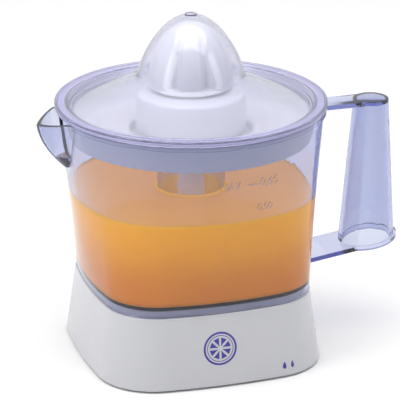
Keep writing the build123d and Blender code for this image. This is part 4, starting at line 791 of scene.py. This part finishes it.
def cone_shape(segments):
    """Radii and heights of the ribbed cone, ring by ring from its tip over flange and skirt to its socket.

    Going up by the share s of the height, the crests follow crest * sqrt(1 - s^2) and the core lies inside
    them. A groove takes the share (1 + cos(pi u)) / 2 of the way from crest to core, where u goes from 0 in
    the middle of the groove to 1 at its edge, and it runs out towards the tip. The socket is a hexagon, at
    across / cos(a) from the axis, where a is the angle to the middle of the nearest flat.
    """
    angle = np.linspace(0.0, 2 * math.pi, segments, endpoint=False)
    step = 2 * math.pi / CONE_RIBS
    from_groove = np.abs((angle - CONE_RIB_TURN) % step - step / 2)
    groove = (1 + np.cos(math.pi * np.clip(from_groove / CONE_GROOVE_HALF, 0.0, 1.0))) / 2
    shares = np.sin(np.linspace(math.pi / 2, 0.0, 44)[1:])[:, None]
    fade = np.clip((CONE_GROOVE_END - shares) / CONE_GROOVE_FADE, 0.0, 1.0)
    depth = groove * fade * fade * (3 - 2 * fade)
    bulge = np.sqrt(1 - shares ** 2)
    radii = bulge * (CONE_CREST - depth * (CONE_CREST - CONE_CORE))
    heights = CONE_FOOT_Z + shares * (CONE_TIP_Z - CONE_FOOT_Z - depth * CONE_CORE_DROP)
    hollow, foot = CONE_HOLLOW / MM, CONE_FOOT_Z / MM
    flange = rounded([(20.4, foot), (21.0, foot), (21.0, 138.2), (17.0, 137.4), (26.8, 134.6), (27.7, 115.4),
                      (25.8, 115.4), (24.9, 132.7), (hollow, 135.1), (hollow, foot)],
                     (0.3, 0.5, 0.8, 1.6, 0.3, 0.3, 0.8, 0.8)) * MM
    rise = np.sin(np.linspace(0.05, 0.85, 12))[:, None]
    roof = np.concatenate([CONE_HOLLOW * np.sqrt(1 - rise ** 2), CONE_FOOT_Z + CONE_HOLLOW_RISE * rise], 1)
    hub = np.array([(CONE_HUB, roof[-1, 1]), (CONE_HUB, CONE_HUB_Z)])
    plain = np.concatenate([flange[1:], roof, hub])
    ones = np.ones((1, segments))
    flat = SOCKET_ACROSS / np.cos((angle + math.pi / 6) % (math.pi / 3) - math.pi / 6)
    radii = np.concatenate([radii, plain[:, :1] * ones, flat * np.ones((2, 1))])
    heights = np.concatenate([heights, plain[:, 1:] * ones, np.array([[CONE_HUB_Z], [SOCKET_TOP_Z]]) * ones])
    return radii, heights


class PRESS_OT_cone(bpy.types.Operator):
    """Shapes the ribbed cone, with grooves that run out softly towards its tip."""
    bl_idname = "press.cone"
    bl_label = "Cone"

    def execute(self, context):
        radii, heights = cone_shape(CONE_SEGMENTS)
        turned_piece("ribbed_cone", radii, heights, (SOCKET_TOP_Z, CONE_TIP_Z - 0.2 * MM), white_plastic(),
                     "cone", "reamer_cone", 35.0)
        return {"FINISHED"}


class PRESS_OT_lid(bpy.types.Operator):
    """Turns the clear domed lid from its profile, with its corners rounded as the mould rounds them."""
    bl_idname = "press.lid"
    bl_label = "Lid"

    def execute(self, context):
        c = colours()

        def dome(radius, low, apex, shares):
            """The dome's profile: radius * sqrt(1 - s^1.2) at the share s of the height from low to apex."""
            return np.stack([radius * np.sqrt(1 - shares ** 1.2), low + (apex - low) * shares], 1)

        shares = np.sin(np.linspace(0.0, math.pi / 2, 34))
        outer = dome(26.5, 146.0, 174.9, shares[::-1][2:])
        inner = dome(25.0, 146.0, 173.4, shares[1:])
        nub = [(0.0, 175.1), (2.3, 175.1), (2.7, 175.3), (3.1, 175.3), (3.1, 174.6)]
        flare = [tuple(outer[-1]), (27.6, 143.0), (32.6, 139.9), (60.3, 127.2), (61.1, 131.4), (68.0, 131.4),
                 (68.0, 128.7), (66.5, 128.7), (66.5, 130.0), (62.6, 130.0), (61.8, 126.2), (60.3, 125.7),
                 (31.4, 138.7), (26.0, 142.2), (25.0, 146.0)]
        radii = (3.0, 3.5, 2.0, 0.6, 0.9, 0.3, 0.2, 0.2, 0.6, 0.5, 0.8, 3.0, 3.0)
        top = rounded(nub, (0.1, 0.1, 0.1))
        profile = np.concatenate([top, outer[1:-1], rounded(flare, radii), inner]) * MM
        tints = (tuple(c.lid), (tuple(c.lid_ring), 0.0615, 0.0640))
        clear = shared("Clear lid styrene", clear_plastic, tints, linear_rgb("#8C8CE8"), 45.0,
                       tuple(c.lid_haze), 0.06, 0.11)
        rings = profile[1:-1]
        shape = (len(rings), LID_SEGMENTS)
        turned_piece("domed_lid", np.broadcast_to(rings[:, :1], shape), np.broadcast_to(rings[:, 1:], shape),
                     (profile[-1, 1], profile[0, 1]), clear, "lid", "lid")
        return {"FINISHED"}


class PRESS_OT_juice(bpy.types.Operator):
    """Fills the jug with juice round its chimney, up to the juice level."""
    bl_idname = "press.juice"
    bl_label = "Juice"

    def execute(self, context):
        c = colours()
        level = sizes().juice_level
        floor = JUG_FLOOR_Z + 0.02 * MM
        wall_rows, surface_rows, hub_rows = 24, 40, 16
        around = np.linspace(0.0, 8.0, 192, endpoint=False)
        outer = jug_wall(around, np.asarray(level), JUG_WALL)
        angle = np.arctan2(outer[:, 1], outer[:, 0])

        def chimney(height):
            """A ring on the chimney's outside, whose radius goes evenly from floor to top."""
            k = (height - JUG_FLOOR_Z) / (CHIMNEY_TOP_Z - JUG_FLOOR_Z)
            radius = CHIMNEY[0] + (CHIMNEY[1] - CHIMNEY[0]) * k - 0.05 * MM
            return np.stack([radius * np.cos(angle), radius * np.sin(angle), np.full(len(angle), height)], -1)

        climb = sizes().meniscus
        rows = [jug_wall(around, np.asarray(h), JUICE_INSET)
                for h in np.linspace(floor, level + climb, wall_rows)]
        edge = rows[-1]
        hub = chimney(level + climb)
        for share in np.linspace(0.0, 1.0, surface_rows)[1:-1]:
            lift = climb * (math.exp(-share / 0.03) + math.exp(-(1 - share) / 0.03))
            ring = (1 - share) * edge + share * hub
            ring[:, 2] = level + lift
            rows.append(ring)
        rows += [chimney(h) for h in np.linspace(level + climb, floor, hub_rows)]
        points = np.stack(rows)
        faces = grid_faces(len(rows), len(around), True, True)
        body = shared("Orange juice", juice_body_finish, tuple(c.juice_top), tuple(c.juice_low), level, floor)
        surface = shared("Juice surface", juice_surface_finish, tuple(c.juice_surface))
        piece = piece_from("orange_juice", points, faces, body, "jug")
        piece.data.materials.append(surface)
        first = faces.min(axis=1) // len(around)
        hub_row = wall_rows + surface_rows - 2
        on_top = (first >= wall_rows) & (first < hub_row - 1)
        piece.data.polygons.foreach_set("material_index", on_top.astype(np.int32))
        return {"FINISHED"}


class PRESS_OT_scale(bpy.types.Operator):
    """Moulds the volume scale on the jug's wall: a line at the highest level and plain numbers."""
    bl_idname = "press.scale"
    bl_label = "Volume scale"

    def execute(self, context):
        raised = sizes().mark_raise
        step = 0.5 * MM
        parts = []
        for text, turn_at, height_at, tall in (("MAX", 6.51, 104.9, 3.9), ("0,65", 6.81, 105.2, 3.9),
                                               ("0,50", 6.79, 92.0, 3.2)):
            paths, wide = digit_paths(text, tall * MM)
            place = wall_place(jug_wall, turn_at, height_at * MM)
            for path in paths:
                flat = even_path(path - (wide / 2, 0.0), step)
                parts.append(stroke_solid(flat, 0.42 * MM, raised, place))
        place = wall_place(jug_wall, 6.67, 106.4 * MM)
        line = even_path([(-3.4 * MM, 0.0), (3.4 * MM, 0.0)], step)
        parts.append(stroke_solid(line, 0.45 * MM, raised, place))
        points, faces = join_parts(parts)
        piece_from("volume_scale", points, faces, jug_plastic(), "jug", smooth=False)
        return {"FINISHED"}


class PRESS_OT_emblem(bpy.types.Operator):
    """Prints a plain citrus slice and two droplets on the housing."""
    bl_idname = "press.emblem"
    bl_label = "Emblem"

    def execute(self, context):
        raised = sizes().ink_raise
        parts = []
        place = wall_place(housing_wall, 6.455, 20.0 * MM)
        size = 8.0 * MM
        parts.append(stroke_solid(arc_path((0, 0), size, 0, 360, 1.0, 64), 1.0 * MM, raised, place))
        parts.append(stroke_solid(arc_path((0, 0), size * 0.82, 0, 360, 1.0, 56), 0.35 * MM, raised, place))
        for segment in range(8):
            middle = math.radians(45.0 * segment + 22.5)
            low = np.array([math.cos(middle), math.sin(middle)]) * size * 0.16
            high = np.array([math.cos(middle), math.sin(middle)]) * size * 0.66
            share = np.linspace(0.0, 1.0, 12)[:, None]
            width = 0.25 * MM + 2.9 * MM * share[:, 0] ** 1.3
            parts.append(stroke_solid(low + (high - low) * share, width, raised, place))
        place = wall_place(housing_wall, 7.06, 4.6 * MM)
        for across in (-2.2 * MM, 2.2 * MM):
            share = np.linspace(0.0, 1.0, 14)
            width = 0.1 * MM + 2.4 * MM * np.sqrt(share * (1 - share)) * (1.4 - share) * 1.3
            path = np.stack([np.full(14, across), share * 3.6 * MM], 1)
            parts.append(stroke_solid(path, width, raised, place))
        points, faces = join_parts(parts)
        ink = shared("Blue-violet print", ink_finish, tuple(colours().print_ink))
        piece_from("citrus_emblem", points, faces, ink, "base", smooth=False)
        return {"FINISHED"}


def soft_lamp(name, place, target, wide, tall, power):
    """A white rectangular area lamp at place that faces target."""
    data = bpy.data.lights.new(name, "AREA")
    data.shape = "RECTANGLE"
    data.size = wide
    data.size_y = tall
    data.energy = power
    lamp = bpy.data.objects.new(name, data)
    bpy.context.scene.collection.objects.link(lamp)
    lamp.location = place
    lamp.rotation_euler = (Vector(target) - Vector(place)).to_track_quat("-Z", "Y").to_euler()
    return lamp


class PRESS_OT_studio(bpy.types.Operator):
    """Makes the pale floor, the soft lamps, the pale surroundings and the camera."""
    bl_idname = "press.studio"
    bl_label = "Studio"

    def execute(self, context):
        scene = bpy.context.scene
        low, high = CAD_BOX
        middle = [(low[k] + high[k]) / 2 for k in range(3)]
        material, tree, shader, output, where = new_finish("Pale paper floor")
        fibre = grain(tree, where, 0.004, 4.0)
        paper = blend_of(tree, fibre, (0.93, 0.93, 0.935), (0.95, 0.95, 0.95))
        tree.links.new(paper, shader.inputs["Base Color"])
        tree.links.new(spread(tree, fibre, 0.75, 0.85), shader.inputs["Roughness"])
        points = np.array([[-6, -6, -0.0002], [6, -6, -0.0002], [6, 6, -0.0002], [-6, 6, -0.0002]], float)
        mesh = bpy.data.meshes.new("studio_floor")
        mesh.from_pydata(points.tolist(), [], [[0, 1, 2, 3]])
        mesh.materials.append(material)
        floor = bpy.data.objects.new("studio_floor", mesh)
        scene.collection.objects.link(floor)

        world = bpy.data.worlds.new("Pale studio")
        world.use_nodes = True
        background = world.node_tree.nodes["Background"]
        # the surroundings are dimmer in front, where the walls would mirror them
        toward = add_node(world.node_tree, "TexCoord").outputs["Generated"]
        depth = add_node(world.node_tree, "SeparateXYZ", {"Vector": toward}).outputs["Y"]
        light = add_node(world.node_tree, "MapRange", {"Value": depth, "From Min": -0.75, "From Max": 0.05,
                                                       "To Min": 0.22, "To Max": 0.92},
                         interpolation_type="SMOOTHSTEP").outputs["Result"]
        background.inputs["Color"].default_value = (1.0, 1.0, 1.0, 1.0)
        world.node_tree.links.new(light, background.inputs["Strength"])
        scene.world = world
        target = (middle[0], middle[1], 0.08)
        soft_lamp("Top lamp", (-0.1, -0.28, 1.25), target, 1.7, 0.9, 11.5)
        soft_lamp("Left lamp", (-0.9, -0.35, 0.45), target, 0.35, 0.9, 2.2)
        soft_lamp("Right lamp", (0.75, -0.75, 0.45), target, 0.3, 0.9, 1.6)

        camera = bpy.data.cameras.new("Studio camera")
        camera.lens = 230.8
        camera.sensor_width = 36.0
        camera.clip_end = 20.0
        eye = bpy.data.objects.new("Studio camera", camera)
        scene.collection.objects.link(eye)
        eye.location = EYE
        look = Vector(LOOKED_AT) - Vector(EYE)
        eye.rotation_euler = look.to_track_quat("-Z", "Y").to_euler()
        scene.camera = eye
        scene.view_settings.view_transform = "Standard"
        scene.cycles.max_bounces = 32
        scene.cycles.transmission_bounces = 32
        scene.cycles.transparent_max_bounces = 32
        return {"FINISHED"}


OPERATORS = (PRESS_OT_base, PRESS_OT_motor, PRESS_OT_jug, PRESS_OT_fruit_parts, PRESS_OT_cone, PRESS_OT_lid,
             PRESS_OT_juice, PRESS_OT_scale, PRESS_OT_emblem, PRESS_OT_studio)


class PRESS_PT_panel(bpy.types.Panel):
    """Lists the press's steps, sizes and colours in the 3D view's sidebar."""
    bl_idname = "PRESS_PT_panel"
    bl_label = "Citrus press"
    bl_space_type = "VIEW_3D"
    bl_region_type = "UI"
    bl_category = "Citrus press"

    def draw(self, context):
        layout = self.layout
        for operator in OPERATORS:
            layout.operator(operator.bl_idname)
        for group in (context.scene.press_sizes, context.scene.press_colours):
            for name in group.__annotations__:
                layout.prop(group, name)


CLASSES = (PressColours, PressSizes, *OPERATORS, PRESS_PT_panel)


def register():
    """Registers the classes and hangs the properties on the scene."""
    for item in CLASSES:
        bpy.utils.register_class(item)
    bpy.types.Scene.press_colours = PointerProperty(type=PressColours)
    bpy.types.Scene.press_sizes = PointerProperty(type=PressSizes)


def unregister():
    """Takes the properties and classes away again."""
    del bpy.types.Scene.press_sizes
    del bpy.types.Scene.press_colours
    for item in reversed(CLASSES):
        bpy.utils.unregister_class(item)


def main():
    register()
    for operator in OPERATORS:
        group, name = operator.bl_idname.split(".")
        getattr(getattr(bpy.ops, group), name)()
    bpy.context.view_layer.update()


if __name__ == "__main__":
    main()
